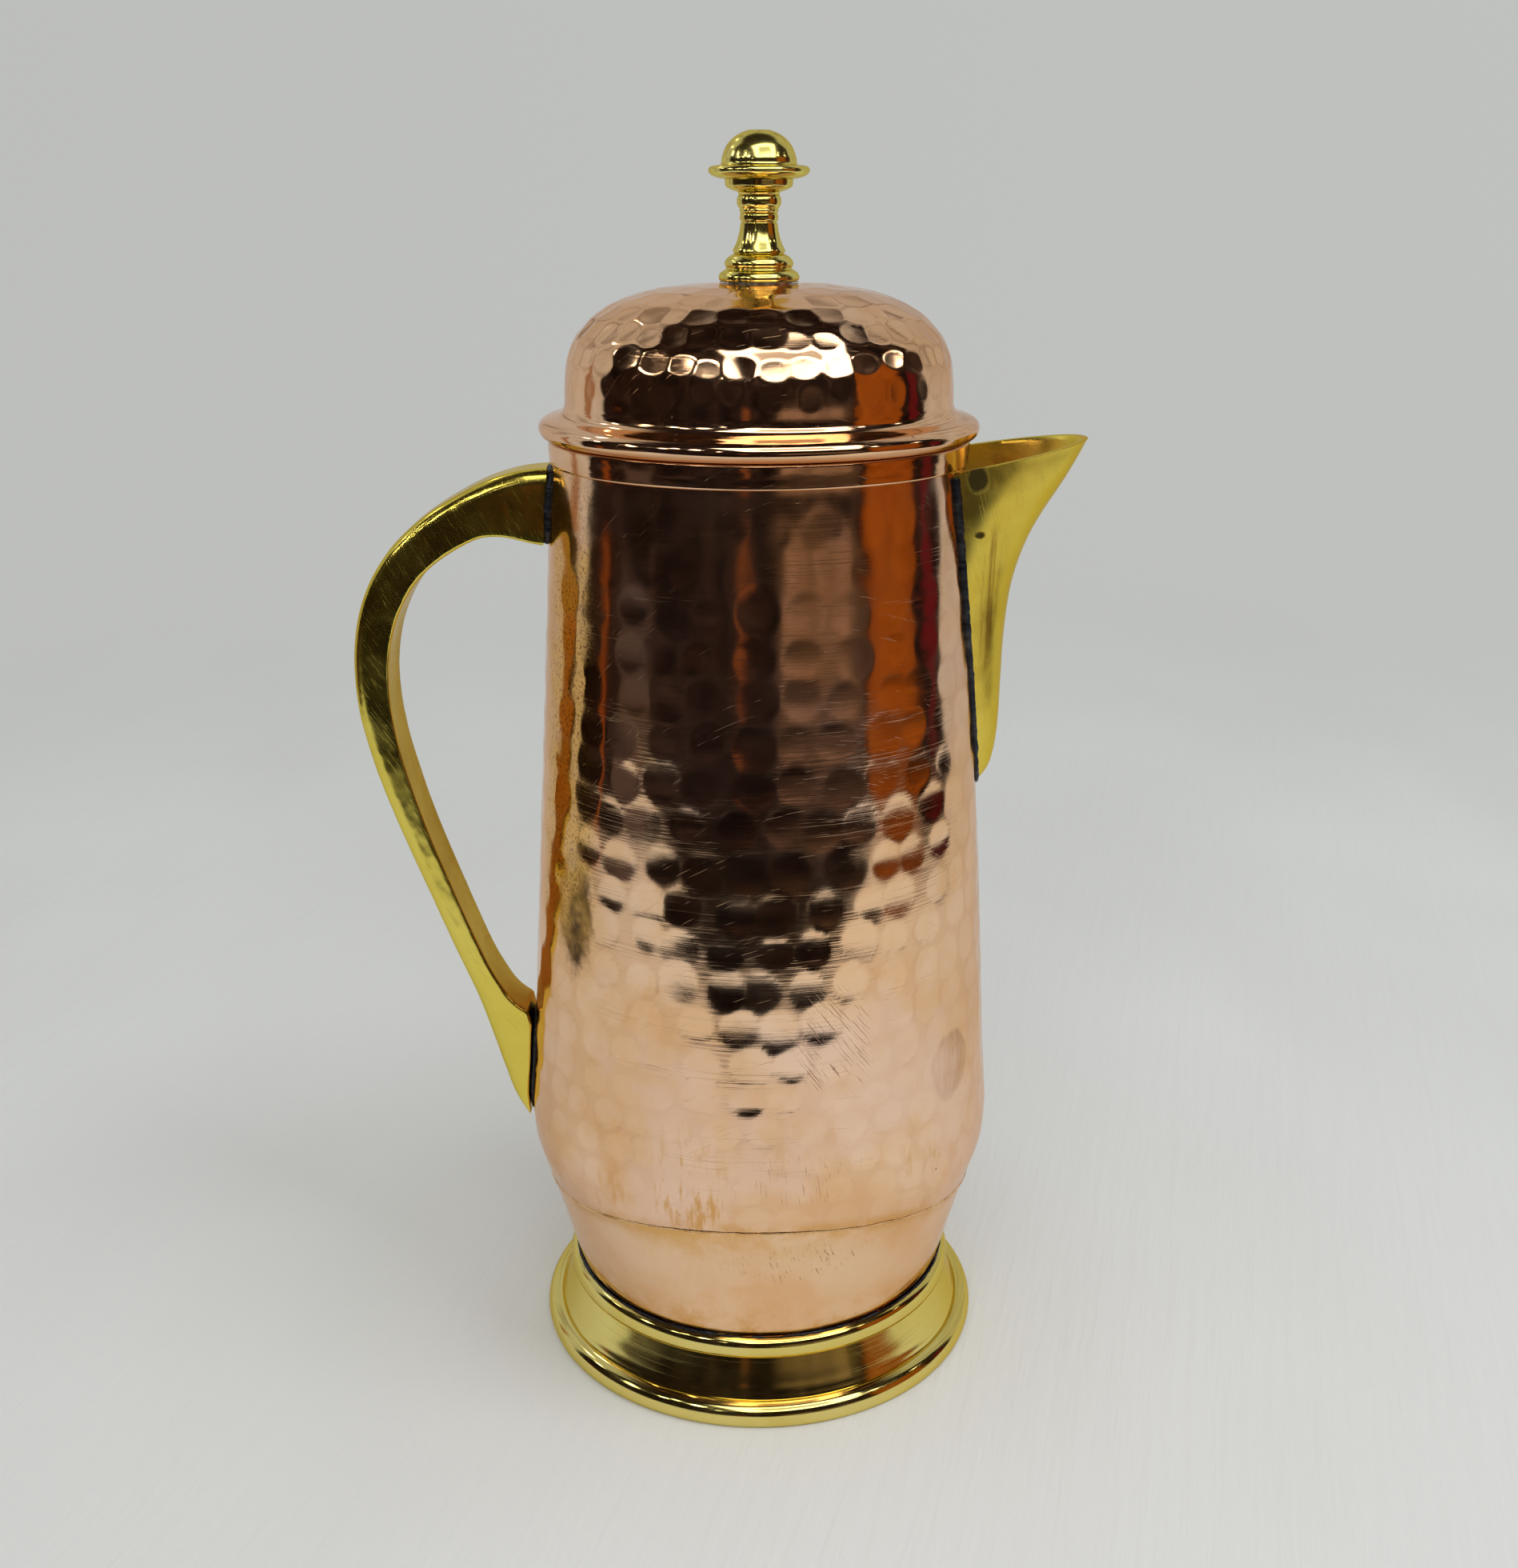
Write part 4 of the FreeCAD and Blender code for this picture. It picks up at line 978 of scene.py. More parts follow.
def build_seam():
    n = 720
    phi = np.linspace(-math.pi, math.pi, n, endpoint=False)
    z = seam_z(phi) + rough_line(n, 3, 60, 0.25)
    r = vessel_r(z)
    c = np.stack([(r - 0.12) * np.sin(phi), -(r - 0.12) * np.cos(phi), z], 1)
    nor = np.stack([np.sin(phi), -np.cos(phi), 0 * phi + 0.3], 1)
    nor /= np.linalg.norm(nor, axis=1)[:, None]
    bi = np.stack([-0.3 * np.sin(phi), 0.3 * np.cos(phi), 0 * phi + 1], 1)
    bi /= np.linalg.norm(bi, axis=1)[:, None]
    a = 0.22 + rough_line(n, 13, 90, 0.06)
    b = 0.50 + rough_line(n, 17, 70, 0.35)
    m = Mat("brazing_stained")
    nn = m.noise(scale=120, detail=5, rough=0.7)
    n2 = m.noise(m.mapping(loc=(3, 3, 3)), scale=500, detail=4, rough=0.7)
    col = m.curve(nn, [(0.0, (0.16, 0.06, 0.02)), (0.38, (0.52, 0.26, 0.09)), (0.52, (0.80, 0.49, 0.22)), (1.0, (0.90, 0.58, 0.32))])
    col = m.mix(m.math("MULTIPLY", m.ramp(n2, 0.58, 0.70), 0.5), col, (0.22, 0.09, 0.03))
    m.principled(col, 1.0, m.ramp(n2, 0.3, 0.7, 0.18, 0.36), m.bump(n2, 0.0002, strength=0.4))
    tube("seam_brazing", c, nor, bi, a, b, m, "jug", ("seam_braze",))


build_seam()

# plain hoop at the mouth
BAND = [("S", [(49.1, 231.5), (49.56, 231.53), (49.70, 231.72), (49.76, 232.2), (49.83, 233.6), (49.85, 236.2), (49.74, 236.78), (49.42, 237.04), (48.95, 237.1)]),
        ("L", [(48.95, 237.1), (48.1, 237.1), (47.8, 236.9), (47.8, 236.1), (48.9, 236.0), (48.9, 231.5)])]


def band_wobble(x, y, z, r, phi):
    w = 0.035 * fbm(phi[None] / (2 * math.pi) * 20 + 0 * z, z / 3.0, 77, 20, 3) - 0.035
    k = 1 + w / r
    return x * k, y * k, z


lathe("mouth_hoop", profile(BAND, 0.2), 320, copper_band, "jug", ("mouth_band",), 50, band_wobble)

# foot
FOOT = [("L", [(49.0, 20.3), (49.55, 20.7)]),
        ("S", [(49.55, 20.7), (50.4, 20.25), (51.05, 19.2), (51.38, 17.8), (51.38, 16.7), (51.1, 16.0)]),
        ("S", [(51.1, 16.0), (50.75, 15.72), (50.3, 15.5)]),
        ("S", [(50.3, 15.5), (51.14, 13.4), (52.04, 11.2), (52.84, 9.3), (53.5, 7.75), (53.88, 6.95), (54.1, 6.45), (54.3, 6.05)]),
        ("S", [(54.3, 6.05), (54.75, 6.15), (55.5, 6.0), (56.8, 5.35), (57.75, 4.1), (58.1, 2.5), (57.85, 1.1), (57.4, 0.3), (56.9, 0.0)]),
        ("L", [(56.9, 0.0), (54.4, 0.0), (54.4, 1.1), (55.3, 1.1)]),
        ("S", [(55.3, 1.1), (56.1, 1.35), (56.55, 2.2), (56.4, 3.3), (55.7, 4.25), (54.6, 4.6), (53.2, 4.95), (52.1, 6.1),
               (51.0, 8.5), (50.1, 11.0), (49.3, 13.2), (49.0, 14.6)]),
        ("L", [(49.0, 14.6), (49.0, 20.3)])]


def foot_profile():
    p = profile(FOOT, 0.22)
    return p[:-1] if np.hypot(*(p[0] - p[-1])) < 1e-3 else p


lathe("foot_spun", foot_profile(), 420, brass_foot, "jug", ("foot_ring",), 38)


def build_foot_bead():
    n = 900
    phi = np.linspace(-math.pi, math.pi, n, endpoint=False)
    lump = rough_line(n, 23, 110, 1.0)
    r = 49.5 + 0.10 * lump
    z = 20.95 + 0.12 * rough_line(n, 24, 80, 1.0)
    c = np.stack([r * np.sin(phi), -r * np.cos(phi), z], 1)
    nor = np.stack([np.sin(phi), -np.cos(phi), 0 * phi + 0.5], 1)
    nor /= np.linalg.norm(nor, axis=1)[:, None]
    bi = np.stack([-0.5 * np.sin(phi), 0.5 * np.cos(phi), 0 * phi + 1], 1)
    bi /= np.linalg.norm(bi, axis=1)[:, None]
    a = np.clip(0.20 + 0.20 * rough_line(n, 25, 140, 1.0), 0.10, None)
    b = np.clip(0.24 + 0.40 * rough_line(n, 26, 60, 1.0) + 0.24 * np.clip(-np.sin(phi + 0.3), 0, 1), 0.12, None)
    tube("foot_joint_bead", c, nor, bi, a, b, solder, "jug", ("foot_solder",))


build_foot_bead()

# ---------------------------------------------------------------------------
# lid
# ---------------------------------------------------------------------------
LID_OUT = [(50.3, 237.3), (51.15, 237.75), (51.8, 238.75), (51.95, 239.7), (51.5, 240.8), (50.3, 241.6), (48.8, 242.1),
           (47.2, 242.65), (46.1, 243.6), (45.72, 245.0), (45.62, 247.5), (45.45, 250.5), (44.95, 254.5), (43.6, 258.5),
           (41.2, 262.0), (38.0, 264.95), (33.8, 267.45), (28.2, 269.5), (21.0, 270.95), (14.0, 271.6), (10.0, 271.8)]
LID_IN = [(10.0, 270.8), (13.9, 270.6), (20.8, 269.95), (27.8, 268.55), (33.3, 266.55), (37.35, 264.1), (40.45, 261.3),
          (42.7, 258.0), (43.98, 254.2), (44.45, 250.4), (44.62, 247.5), (44.7, 244.9), (45.2, 243.0), (46.7, 241.7),
          (48.5, 241.1), (49.9, 240.65), (50.7, 240.2), (50.95, 239.6), (50.8, 238.9), (50.3, 238.3)]


def build_lid():
    seg = 460
    phi = np.linspace(-math.pi, math.pi, seg, endpoint=False)
    o = spline_pts(LID_OUT, 0.55)
    t = np.concatenate([[0], np.cumsum(np.hypot(*np.diff(o, axis=0).T))])
    d = np.gradient(o, t, axis=0)
    nrm = np.stack([d[:, 1], -d[:, 0]], 1)
    nrm /= np.linalg.norm(nrm, axis=1)[:, None]
    P = np.stack([o[:, 0][:, None] * np.sin(phi), -o[:, 0][:, None] * np.cos(phi), o[:, 1][:, None] + 0 * phi], 2)
    N = np.stack([nrm[:, 0][:, None] * np.sin(phi), -nrm[:, 0][:, None] * np.cos(phi), nrm[:, 1][:, None] + 0 * phi], 2)
    g = np.random.default_rng(12)
    h = np.zeros(P.shape[:2])
    rows = [(45.25, 251.6, 7.6, 0.09, 3.4), (44.1, 257.2, 6.9, 0.27, 3.7), (40.6, 262.6, 6.8, 0.32, 3.8), (35.6, 266.5, 7.0, 0.28, 3.9),
            (28.9, 269.3, 7.4, 0.20, 4.1), (21.5, 270.9, 7.8, 0.15, 4.2), (14.5, 271.55, 8.2, 0.09, 4.0)]
    for rc, zc, pitch, cut, rad in rows:
        n = int(round(2 * math.pi * rc / pitch))
        off = g.uniform(0, 6.28)
        i0 = int(np.argmin(np.hypot(o[:, 0] - rc, o[:, 1] - zc)))
        for i in range(n):
            a = off + 2 * math.pi * (i + g.uniform(-0.16, 0.16)) / n
            ii = int(np.clip(i0 + g.normal(0, 1.1), 2, len(o) - 3))
            c = cut * g.uniform(0.7, 1.3)
            rr = rad * g.uniform(0.9, 1.12)
            pc = np.array([o[ii, 0] * math.sin(a), -o[ii, 0] * math.cos(a), o[ii, 1]])
            nc = np.array([nrm[ii, 0] * math.sin(a), -nrm[ii, 0] * math.cos(a), nrm[ii, 1]])
            nc = nc + g.normal(0, 0.018, 3)
            nc /= np.linalg.norm(nc)
            da = (phi - a + math.pi) % (2 * math.pi) - math.pi
            kk = np.where(np.abs(t - t[ii]) < 6)[0]
            qq = np.where(np.abs(da) * max(o[ii, 0], 8) < 6)[0]
            sub = P[np.ix_(kk, qq)] - pc
            dist = np.linalg.norm(sub, axis=2)
            s = sub @ nc + c * (1 - 0.35 * (dist / rr) ** 2)
            s = np.where(dist < rr * 1.5, s, 0) * np.clip((rr * 1.22 - dist) / (rr * 0.22), 0, 1)
            s = 0.5 * (s + np.sqrt(s * s + 0.0002)) - 0.0071
            h[np.ix_(kk, qq)] = np.minimum(h[np.ix_(kk, qq)], -np.clip(s, 0, None))
    h += 0.02 * fbm((phi[None] + math.pi) / (2 * math.pi) * 22 + 0 * t[:, None], t[:, None] / 11 + 0 * phi[None], 9, 22, 3) - 0.02
    fade = np.clip((o[:, 1] - 243.0) / 2.0, 0.25, 1)[:, None] * np.clip((o[:, 0] - 9.5) / 3.0, 0, 1)[:, None]
    h = (h - h.max()) * fade
    dt = t[1] - t[0]
    dx = np.maximum(o[:, 0], 8)[:, None] * 2 * math.pi / seg
    lap = (np.roll(h, 1, 1) + np.roll(h, -1, 1) - 2 * h) / dx ** 2
    lap[1:-1] += (h[2:] + h[:-2] - 2 * h[1:-1]) / dt ** 2
    ridge = np.clip(-lap / 0.06, 0, 1) * fade
    Q = P + N * h[..., None]
    low = [(47.2, 237.3), (48.6, 237.3)]
    ring = lambda a, b: np.stack([a * np.sin(phi), -a * np.cos(phi), b + 0 * phi], 1)
    inn = spline_pts(LID_IN, 1.6)
    rows_ = [ring(*q) for q in low] + [Q[i] for i in range(len(o))] + [ring(6.0, 271.8), ring(2.15, 271.8), ring(2.15, 270.8), ring(6.0, 270.8)]
    rows_ += [ring(a, b) for a, b in inn] + [ring(48.6, 238.3), ring(47.2, 238.3)]
    V = np.concatenate(rows_, 0)
    n = len(rows_)
    idx = np.arange(n * seg).reshape(n, seg)
    nxt = np.roll(idx, -1, 1)
    up, un = np.roll(idx, -1, 0), np.roll(nxt, -1, 0)
    F = np.stack([idx, nxt, un, up], 2).reshape(-1, 4)
    ob = make_object("lid_dome_hammered", V * MM, F, copper_lid, "lid", ("lid_dome",), 42)
    lay = ob.data.attributes.new("ridge", "FLOAT", "POINT")
    val = np.zeros(len(V), np.float32)
    val[2 * seg:2 * seg + ridge.size] = ridge.reshape(-1)
    lay.data.foreach_set("value", val)
    return ob


build_lid()
lathe("lid_sleeve_ring", np.array([(46.3, 229.0), (46.95, 229.0), (47.2, 229.4), (47.2, 234.0), (47.2, 239.4), (46.3, 239.4), (46.3, 234.0)]),
      240, copper_plain, "lid", ("lid_sleeve",), 40)

# finial
FIN = [
    [(8.7, 272.25), (9.15, 272.45), (9.38, 272.95), (9.28, 273.5), (8.75, 274.25), (7.85, 274.8)],
    [(7.85, 274.8), (7.6, 275.05), (7.75, 275.45)],
    [(7.75, 275.45), (7.95, 275.95), (7.88, 276.5), (7.35, 277.3), (6.5, 277.95), (5.72, 278.3)],
    [(5.72, 278.3), (5.78, 278.5), (6.08, 278.62)],
    [(6.08, 278.62), (6.02, 278.95), (5.4, 280.3), (4.8, 282.0), (4.45, 283.6), (4.3, 284.9)],
    [(4.3, 284.9), (4.08, 285.1), (4.08, 285.3), (4.28, 285.5)],
    [(4.28, 285.5), (4.42, 285.95), (4.42, 286.5), (4.3, 286.95), (4.12, 287.1)],
    [(4.12, 287.1), (4.4, 287.45), (4.5, 287.8), (4.4, 288.1)],
    [(4.4, 288.1), (4.85, 288.7), (5.08, 289.4), (5.08, 290.0), (4.9, 290.7), (4.62, 291.2)],
    [(4.62, 291.2), (4.75, 291.5), (5.6, 291.95), (6.7, 292.35), (7.3, 292.7)],
    [(7.3, 292.7), (7.62, 293.0), (7.78, 294.0), (7.82, 294.45)],
    [(7.82, 294.45), (9.2, 294.7), (10.6, 295.2), (11.4, 295.85), (11.58, 296.45), (11.3, 297.05), (10.4, 297.4), (8.9, 297.6)],
    [(8.9, 297.6), (8.62, 297.95), (8.55, 298.6), (8.3, 299.7), (7.7, 301.2), (6.6, 302.7), (5.2, 303.85), (3.7, 304.6), (2.5, 305.0)],
]
fin_prof = profile([("L", [(0, 272.25), (8.7, 272.25)])] + [("S", s) for s in FIN] + [("L", [(2.5, 305.0), (0, 305.0)])], 0.16)
lathe("finial_turned", fin_prof, 200, brass_finial, "lid", ("finial",), 38)
lathe("finial_seat_washer", np.array([(2.15, 271.8), (9.0, 271.8), (9.1, 271.9), (9.1, 272.2), (9.0, 272.25), (2.15, 272.25)]), 160, steel, "lid", ("finial_washer",), 30)

lathe("screw_head_washer", np.array([(2.15, 270.0), (4.85, 270.0), (5.0, 270.15), (5.0, 270.65), (4.85, 270.8), (2.15, 270.8)]),
      120, steel, "lid", ("screw_washer",), 30)

# ---------------------------------------------------------------------------
# handle: a filed and polished cast bar
# ---------------------------------------------------------------------------
H_OUT = [(-49.2, 229.95), (-51.0, 229.9), (-57.0, 229.25), (-64.0, 227.2), (-72.0, 223.4), (-79.8, 218.5), (-88.2, 210.9),
         (-93.6, 203.1), (-96.9, 195.1), (-98.6, 187.0), (-99.1, 179.0), (-98.7, 170.7), (-97.2, 162.4), (-95.1, 154.0),
         (-92.5, 145.5), (-89.4, 136.8), (-86.2, 128.1), (-82.9, 119.3), (-79.6, 110.3), (-76.1, 101.3), (-72.7, 92.1),
         (-69.9, 82.8), (-67.2, 73.4), (-63.9, 64.8), (-60.6, 59.9)]
H_IN = [(-49.2, 211.6), (-51.0, 211.8), (-56.0, 212.8), (-61.5, 213.9), (-66.0, 213.6), (-70.8, 211.6), (-77.6, 207.2),
        (-82.3, 202.6), (-85.3, 198.0), (-87.6, 193.0), (-89.3, 187.0), (-90.2, 180.5), (-90.3, 174.5), (-89.8, 168.0),
        (-88.8, 161.5), (-87.1, 154.0), (-84.9, 145.8), (-82.2, 137.0), (-79.2, 128.3), (-76.0, 119.4), (-72.7, 110.4),
        (-69.3, 102.0), (-66.3, 96.3), (-63.2, 92.0), (-60.0, 89.6)]


def push_out(x, y, z):
    """Keeps points clear of the vessel's wall, as the bar's fitted ends are."""
    gap = np.where(z > 195, 1.2, 0.6)
    lim = vessel_r(np.clip(z, 21, 236)) + gap
    need = np.hypot(x, y) < lim
    xs = -np.sqrt(np.clip(lim ** 2 - y ** 2, 0, None))
    return np.where(need, np.minimum(x, xs), x)


def build_handle():
    o = spline_pts(H_OUT, 0.55)
    low = [(-(vessel_r(z) + 0.6), z) for z in (86.0, 82.0, 78.0, 74.0, 70.0, 66.0, 62.5)]
    i_ = np.vstack([spline_pts(H_IN, 0.3), np.array(low), [[-60.55, 59.95]]])
    ti = np.concatenate([[0], np.cumsum(np.hypot(*np.diff(i_, axis=0).T))])
    ii = np.stack([np.interp(np.linspace(0, ti[-1], 2400), ti, i_[:, k]) for k in (0, 1)], 1)
    d = np.gradient(o, axis=0)
    d /= np.hypot(*d.T)[:, None]
    pick = []
    last = 0
    for k in range(len(o)):
        v = ii[last:last + 260] - o[k]
        lat = np.abs(v @ d[k]) + 0.02 * np.hypot(*v.T)
        last = last + int(np.argmin(lat)) if len(v) else last
        pick.append(last)
    pick = np.array(pick, float)
    pick[0], pick[-1] = 0, len(ii) - 1
    ker = np.ones(25) / 25
    sm = np.convolve(np.pad(pick, 12, mode="edge"), ker, "valid")
    w = np.clip(np.minimum(np.arange(len(o)), len(o) - 1 - np.arange(len(o))) / 14, 0, 1)
    pick = np.maximum.accumulate(sm * w + pick * (1 - w))
    I = np.stack([np.interp(pick, np.arange(len(ii)), ii[:, k]) for k in (0, 1)], 1)
    rows = []
    n = len(o)
    wob = fbm(np.linspace(0, 30, n), 0 * np.linspace(0, 1, n) + .3, 41, 60, 3)
    for k in range(n):
        D = math.dist(o[k], I[k])
        s = (I[k] - o[k]) / max(D, 1e-6)
        zc = (o[k, 1] + I[k, 1]) / 2
        hw = 6.8 + (8.0 - 6.8) * (zc - 60.0) / 169.0
        r = min(3.4 * (1 + 0.05 * wob[k]), 0.46 * D, 3.4)
        q = min(0.75 * (1 + 0.3 * wob[k]), 0.3 * D)
        sec = []
        for y in np.linspace(0, hw - r, 6)[:-1]:
            sec.append((0.18 * (y / hw) ** 2, y))
        for a in np.linspace(0, math.pi / 2, 9):
            sec.append((r - r * math.cos(a), hw - r + r * math.sin(a)))
        for t in np.linspace(r, D - q, 7)[1:-1]:
            sec.append((t, hw))
        for a in np.linspace(0, math.pi / 2, 5):
            sec.append((D - q + q * math.sin(a), hw - q + q * math.cos(a)))
        for y in np.linspace(hw - q, 0, 6)[1:]:
            sec.append((D - 0.12 * (1 - (y / hw) ** 2), y))
        sec = np.array(sec)
        full = np.vstack([sec, np.stack([sec[::-1, 0], -sec[::-1, 1]], 1)[1:-1]])
        P = np.stack([o[k, 0] + s[0] * full[:, 0], full[:, 1], o[k, 1] + s[1] * full[:, 0]], 1)
        rows.append(P)
    P = np.array(rows)
    nn = P.shape[1]
    # slight unevenness from filing, always inwards
    c = (o + I) / 2
    cen = np.stack([c[:, 0], 0 * c[:, 0], c[:, 1]], 1)[:, None]
    out = P - cen
    out /= np.linalg.norm(out, axis=2)[..., None] + 1e-9
    gx, gy = np.meshgrid(np.arange(nn) / nn * 9, np.arange(n) / 9.0)
    f = fbm(gx, gy, 77, 9, 3)
    P = P - out * (0.07 * (f + 1))[..., None]
    P[..., 0] = push_out(P[..., 0], P[..., 1], P[..., 2])
    idx = np.arange(n * nn).reshape(n, nn)
    nx = np.roll(idx, -1, 1)
    F = np.stack([idx[:-1], nx[:-1], nx[1:], idx[1:]], 2).reshape(-1, 4).tolist()
    V = P.reshape(-1, 3)
    a = len(V)
    mid0, mid1 = P[0].mean(0), P[-1].mean(0)
    V = np.vstack([V, mid0, mid1])
    V[a:, 0] = push_out(V[a:, 0], V[a:, 1], V[a:, 2])
    F += [(a, int(nx[0, j]), int(idx[0, j])) for j in range(nn)]
    F += [(a + 1, int(idx[-1, j]), int(nx[-1, j])) for j in range(nn)]
    ob = make_object("handle_cast", V * MM, F, brass_handle, "jug", ("handle",), 50)
    # the inner face strip takes the darker copy of the brass: painted shade and a painted reflection of the copper wall
    ob.data.materials.append(handle_inner_shade.m)
    strip = np.zeros(nn, np.int32)
    half_n = (nn + 2) // 2
    strip[half_n - 7:half_n + 5] = 1
    ids = np.zeros(len(ob.data.polygons), np.int32)
    ids[:(n - 1) * nn] = np.tile(strip, n - 1)
    ob.data.polygons.foreach_set("material_index", ids)
    return ob


build_handle()


def pillow(name, hy, z0, z1, thick, seed, replaces, power=5.0, nu=40, nv=70):
    """A pad of solder on the wall at the handle's side, with a rolled, uneven edge."""
    u = np.linspace(-1, 1, nu)[None] + 0 * np.zeros((nv, 1))
    v = np.linspace(-1, 1, nv)[:, None] + 0 * np.zeros((1, nu))
    zc, hz = (z0 + z1) / 2, (z1 - z0) / 2
    # squircle mapping rounds the corners
    m = np.maximum(np.abs(u), np.abs(v)) + 1e-9
    l4 = (np.abs(u) ** 4 + np.abs(v) ** 4) ** 0.25 + 1e-9
    uu, vv = u * m / l4, v * m / l4
    g = fbm((v + 1) * 7, (u + 1) * 5, seed, 64, 4)
    edge = 1 - 0.035 * (1 + fbm((v + 1) * 10, (u + 1) * 10, seed + 5, 64, 3))
    y = hy * uu * edge
    z = zc + hz * vv * edge
    t = thick * np.sqrt(np.clip(1 - m ** power, 0, 1)) * (0.86 + 0.14 * g)
    rw = vessel_r(z)

    def wall(rr):
        return -np.sqrt(rr ** 2 - y ** 2)

    A = np.stack([wall(rw + np.clip(t, 0.02, None)), y, z], 2)
    B = np.stack([wall(rw - 0.05), y, z], 2)
    V = np.concatenate([A.reshape(-1, 3), B.reshape(-1, 3)])
    ia = np.arange(nu * nv).reshape(nv, nu)
    ib = ia + nu * nv
    F = np.stack([ia[:-1, :-1], ia[:-1, 1:], ia[1:, 1:], ia[1:, :-1]], 2).reshape(-1, 4).tolist()
    F += np.stack([ib[:-1, :-1], ib[1:, :-1], ib[1:, 1:], ib[:-1, 1:]], 2).reshape(-1, 4).tolist()
    rim = list(ia[0, :]) + list(ia[1:, -1]) + list(ia[-1, -2::-1]) + list(ia[-2:0:-1, 0])
    for a, b in zip(rim, rim[1:] + rim[:1]):
        F.append((int(a), int(b), int(b + nu * nv), int(a + nu * nv)))
    return make_object(name, V * MM, F, solder, "jug", replaces, None)


pillow("handle_top_solder_pad", 8.55, 211.1, 230.5, 3.1, 61, ("handle_upper_solder",))
pillow("handle_foot_solder_pad", 7.25, 59.4, 89.8, 0.93, 67, ("handle_lower_solder",), power=9.0)

# ---------------------------------------------------------------------------
# spout: folded sheet with a soldered joint
# ---------------------------------------------------------------------------
SP = np.array([(145.0, 44.5, 3.4), (148.5, 50.8, 5.4), (151.4, 54.8, 7.6), (154.0, 57.0, 9.2), (158.0, 58.5, 11.1), (163.0, 59.25, 12.9),
               (170.0, 59.65, 14.7), (180.0, 59.75, 16.5), (190.0, 60.05, 18.0), (200.0, 61.0, 19.2), (207.0, 62.6, 19.9),
               (213.0, 64.75, 20.4), (219.0, 67.8, 20.8), (225.0, 71.6, 21.05), (231.0, 75.1, 21.2), (236.0, 77.6, 21.25),
               (241.0, 79.8, 21.3)])


SPZ = np.linspace(145.0, 241.0, 2400)
SPX, SPW = cubic(SP[:, 0], SP[:, 1], SPZ), cubic(SP[:, 0], SP[:, 2], SPZ)


def spout_xy(z, th, inset, lift):
    zz = np.clip(z - lift, 145.0, 241.0)
    a = np.interp(zz, SPZ, SPX) - inset - 40.0
    b = np.interp(zz, SPZ, SPW) - inset
    return 40.0 + a * np.cos(th), b * np.sin(th)


def wall_limit(z):
    return np.where(z > 231.4, np.maximum(vessel_r(np.clip(z, 21, 236)), 49.87), vessel_r(np.clip(z, 21, 236)))


def spout_grid(inset, lift, nv, nu, depth=0.0):
    v = np.linspace(0, 1, nv) ** 1.5
    u = np.linspace(-1, 1, nu)
    z0 = 151.0 + lift
    rows = []
    for vi in v:
        def point(th):
            z = 225.0
            for _ in range(6):
                x, y = spout_xy(z, th, inset, lift)
                zr = 231.9 + 0.175 * (x - 50.0)
                z = z0 + vi * (zr - z0)
            x, y = spout_xy(z, th, inset, lift)
            return x, y, z
        lo = np.zeros(1)
        hi = np.full(1, math.pi / 2)
        for _ in range(34):
            mid = (lo + hi) / 2
            x, y, z = point(mid)
            outside = np.hypot(x, y) > wall_limit(z) - depth
            lo = np.where(outside, mid, lo)
            hi = np.where(outside, hi, mid)
        th = u * lo[0]
        x, y, z = point(th)
        rows.append(np.stack([x, y, z], 1))
    return np.array(rows)


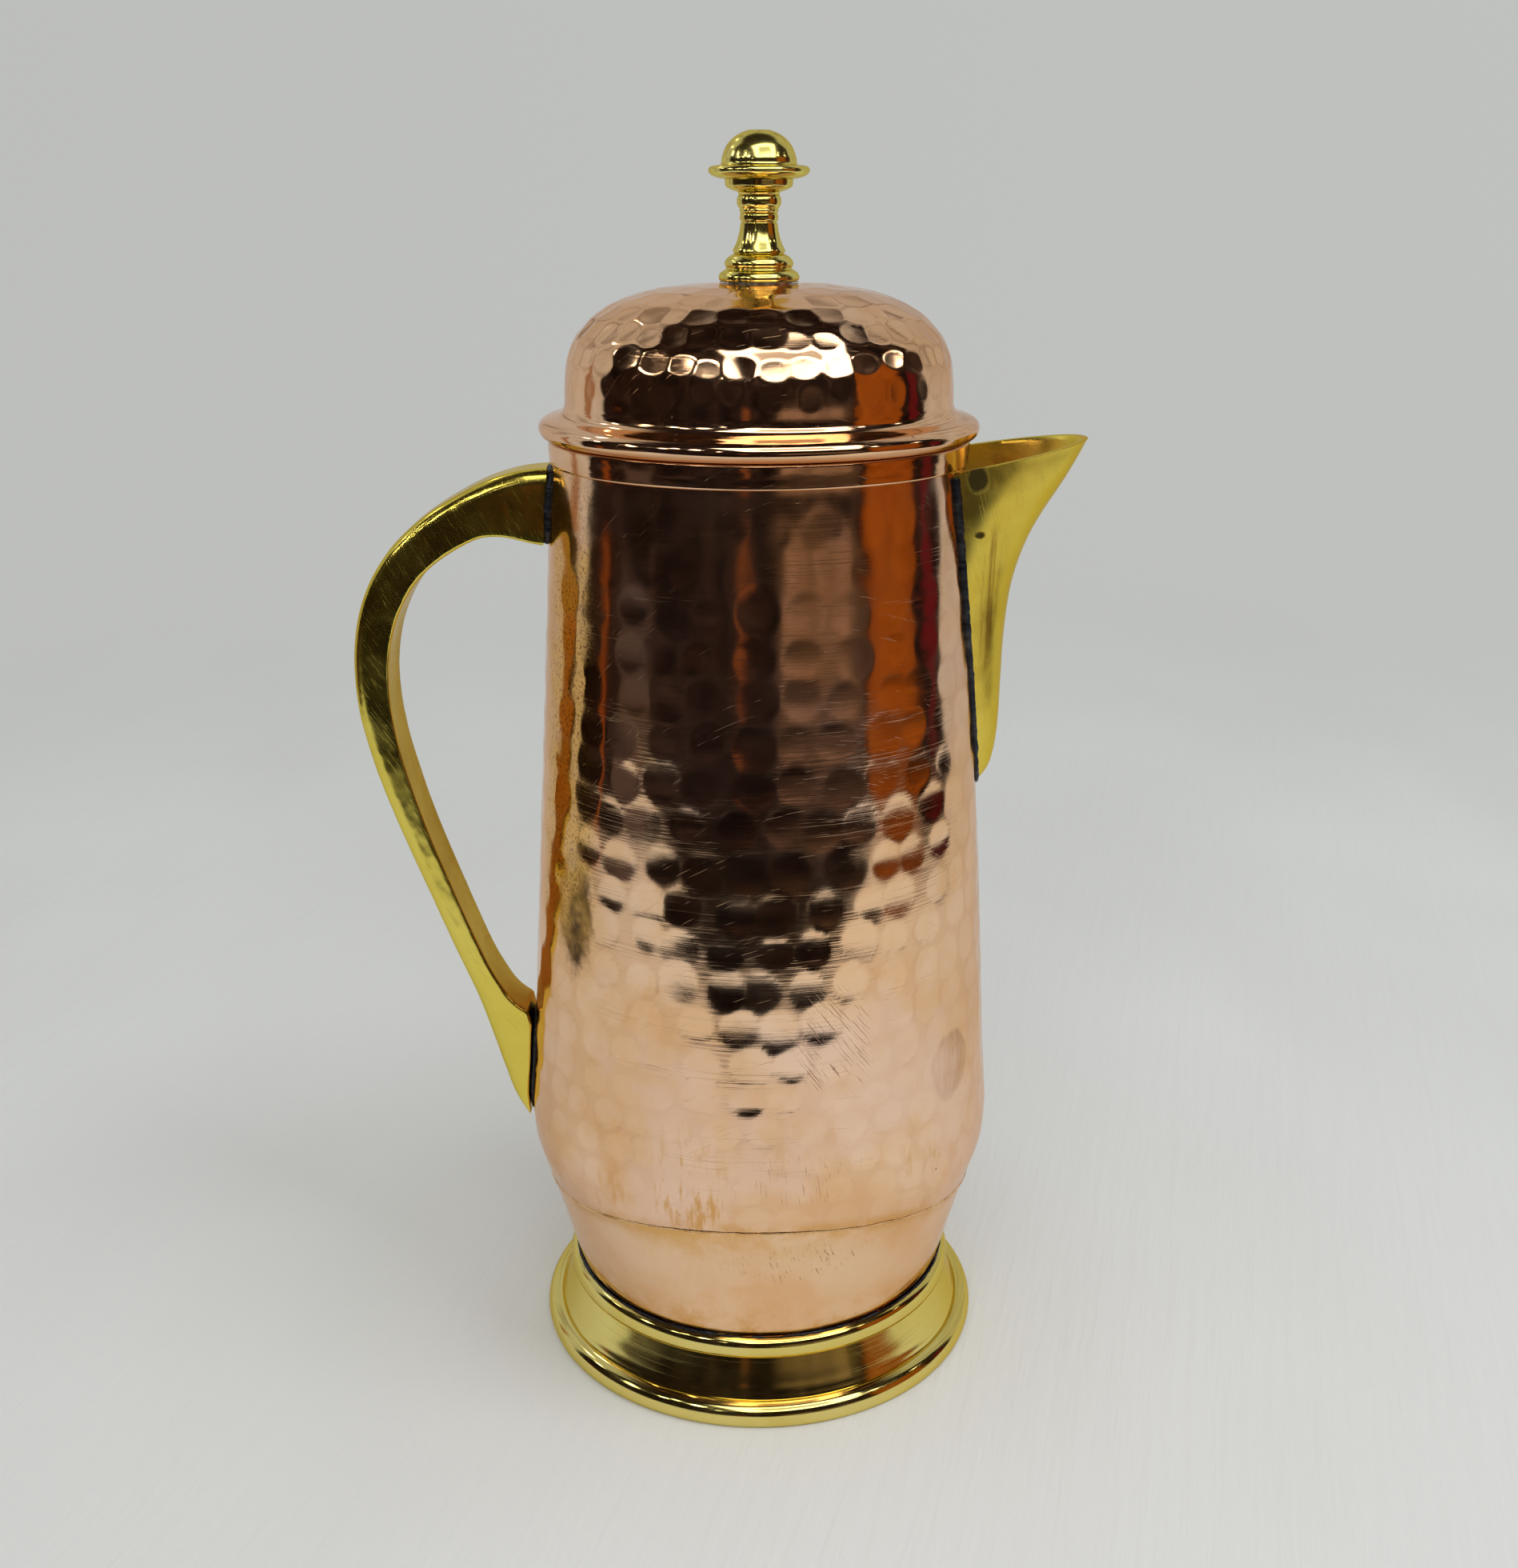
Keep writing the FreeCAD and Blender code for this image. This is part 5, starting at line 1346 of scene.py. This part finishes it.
def build_spout():
    nv, nu = 130, 110
    A = spout_grid(0.0, 0.0, nv, nu, depth=0.6)
    B = spout_grid(1.6, 1.0, nv, nu, depth=0.6)
    # hand planishing: slow, shallow unevenness, deeper inside than outside
    gx, gy = np.meshgrid(np.linspace(0, 12, nu), np.linspace(0, 16, nv))
    f = fbm(gx, gy, 55, 64, 3)
    f2 = fbm(gx * 1.3, gy * 1.3, 56, 64, 3)
    ax = np.array([44.0, 0, 0])

    def inward(P):
        d = P - np.array([44.0, 0, 0]) * 1.0
        d[..., 2] = 0
        return d / (np.linalg.norm(d, axis=2)[..., None] + 1e-9)

    ea = np.clip(np.minimum(np.linspace(0, nv - 1, nv), np.linspace(nv - 1, 0, nv)) / 6, 0, 1)[:, None]
    A = A - inward(A) * (0.05 * (f + 1) * ea)[..., None]
    B = B - inward(B) * (0.16 * (f2 + 0.2) * ea)[..., None]
    # rounded rim between the two faces
    top_a, top_b = A[-1].copy(), B[-1].copy()
    mid = (top_a + top_b) / 2
    A[-1, :, 2] -= 0.18
    B[-1, :, 2] -= 0.18
    r1 = top_a * 0.8 + top_b * 0.2
    r2 = top_a * 0.2 + top_b * 0.8
    for r in (r1, r2, mid):
        r[:, 2] = np.minimum(r[:, 2], 231.9 + 0.175 * (r[:, 0] - 50.0))
    rows = [A[i] for i in range(nv)] + [r1, mid, r2] + [B[i] for i in range(nv - 1, -1, -1)]
    G = np.array(rows)
    n = len(G)
    idx = np.arange(n * nu).reshape(n, nu)
    F = np.stack([idx[:-1, :-1], idx[:-1, 1:], idx[1:, 1:], idx[1:, :-1]], 2).reshape(-1, 4).tolist()
    # side edges and the bottom edge join the two faces
    for c in (0, nu - 1):
        for i in range(nv):
            j = n - 1 - i
            if i + 1 < nv:
                F.append((int(idx[i, c]), int(idx[i + 1, c]), int(idx[j - 1, c]), int(idx[j, c])))
        F.append((int(idx[nv - 1, c]), int(idx[nv, c]), int(idx[nv + 1, c]), int(idx[nv + 2, c]), int(idx[nv + 3, c])))
    for k in range(nu - 1):
        F.append((int(idx[0, k]), int(idx[0, k + 1]), int(idx[n - 1, k + 1]), int(idx[n - 1, k])))
    ob = make_object("spout_folded", G.reshape(-1, 3) * MM, F, brass_spout, "jug", ("spout",), 50)
    ob.data.materials.append(brass_inner.m)
    half = (nv + 1) * (nu - 1)
    ids = np.zeros(len(ob.data.polygons), np.int32)
    ids[half:(n - 1) * (nu - 1)] = 1
    ob.data.polygons.foreach_set("material_index", ids)
    # joint bead: follows the outer crossing with the wall
    E = spout_grid(0.0, 0.0, 150, 3, depth=0.0)
    path = np.vstack([E[::-1, 2], E[1:, 0]])
    t = np.concatenate([[0], np.cumsum(np.linalg.norm(np.diff(path, axis=0), axis=1))])
    keep = np.concatenate([[True], np.diff(t) > 1e-4])
    path, t = path[keep], t[keep]
    q = np.linspace(0, t[-1], 420)
    C = np.stack([np.interp(q, t, path[:, k]) for k in range(3)], 1)
    T = np.gradient(C, axis=0)
    T /= np.linalg.norm(T, axis=1)[:, None]
    R = C * np.array([1, 1, 0])
    R /= np.linalg.norm(R, axis=1)[:, None]
    S = np.cross(T, R)
    S /= np.linalg.norm(S, axis=1)[:, None]
    R = np.cross(S, T)
    frac = np.clip((C[:, 2] - 148) / 80, 0, 1)
    lump = fbm(np.linspace(0, 70, len(q)), 0 * q + .5, 88, 128, 4)
    wide = (0.60 + 0.52 * frac) * (1 + 0.42 * lump)
    tall = (0.7 + 0.45 * frac) * (1 + 0.30 * fbm(np.linspace(0, 90, len(q)), 0 * q + 3.5, 89, 128, 4))
    C = C + R * 0.1
    C[:, 2] = np.minimum(C[:, 2], 231.9 + 0.175 * (C[:, 0] - 50.0) - 0.9)
    tube("spout_joint_bead", C, R, S, np.clip(tall, 0.4, 1.5), np.clip(wide, 0.42, 1.5), solder, "jug",
         ("spout_solder",), closed=False, around=12)
    return ob


build_spout()

# ---------------------------------------------------------------------------
# the screw keeps its CAD shape
# ---------------------------------------------------------------------------
for node in ("finial_screw",):
    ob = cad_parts[node]
    ob.data.materials.clear()
    ob.data.materials.append(steel.m)
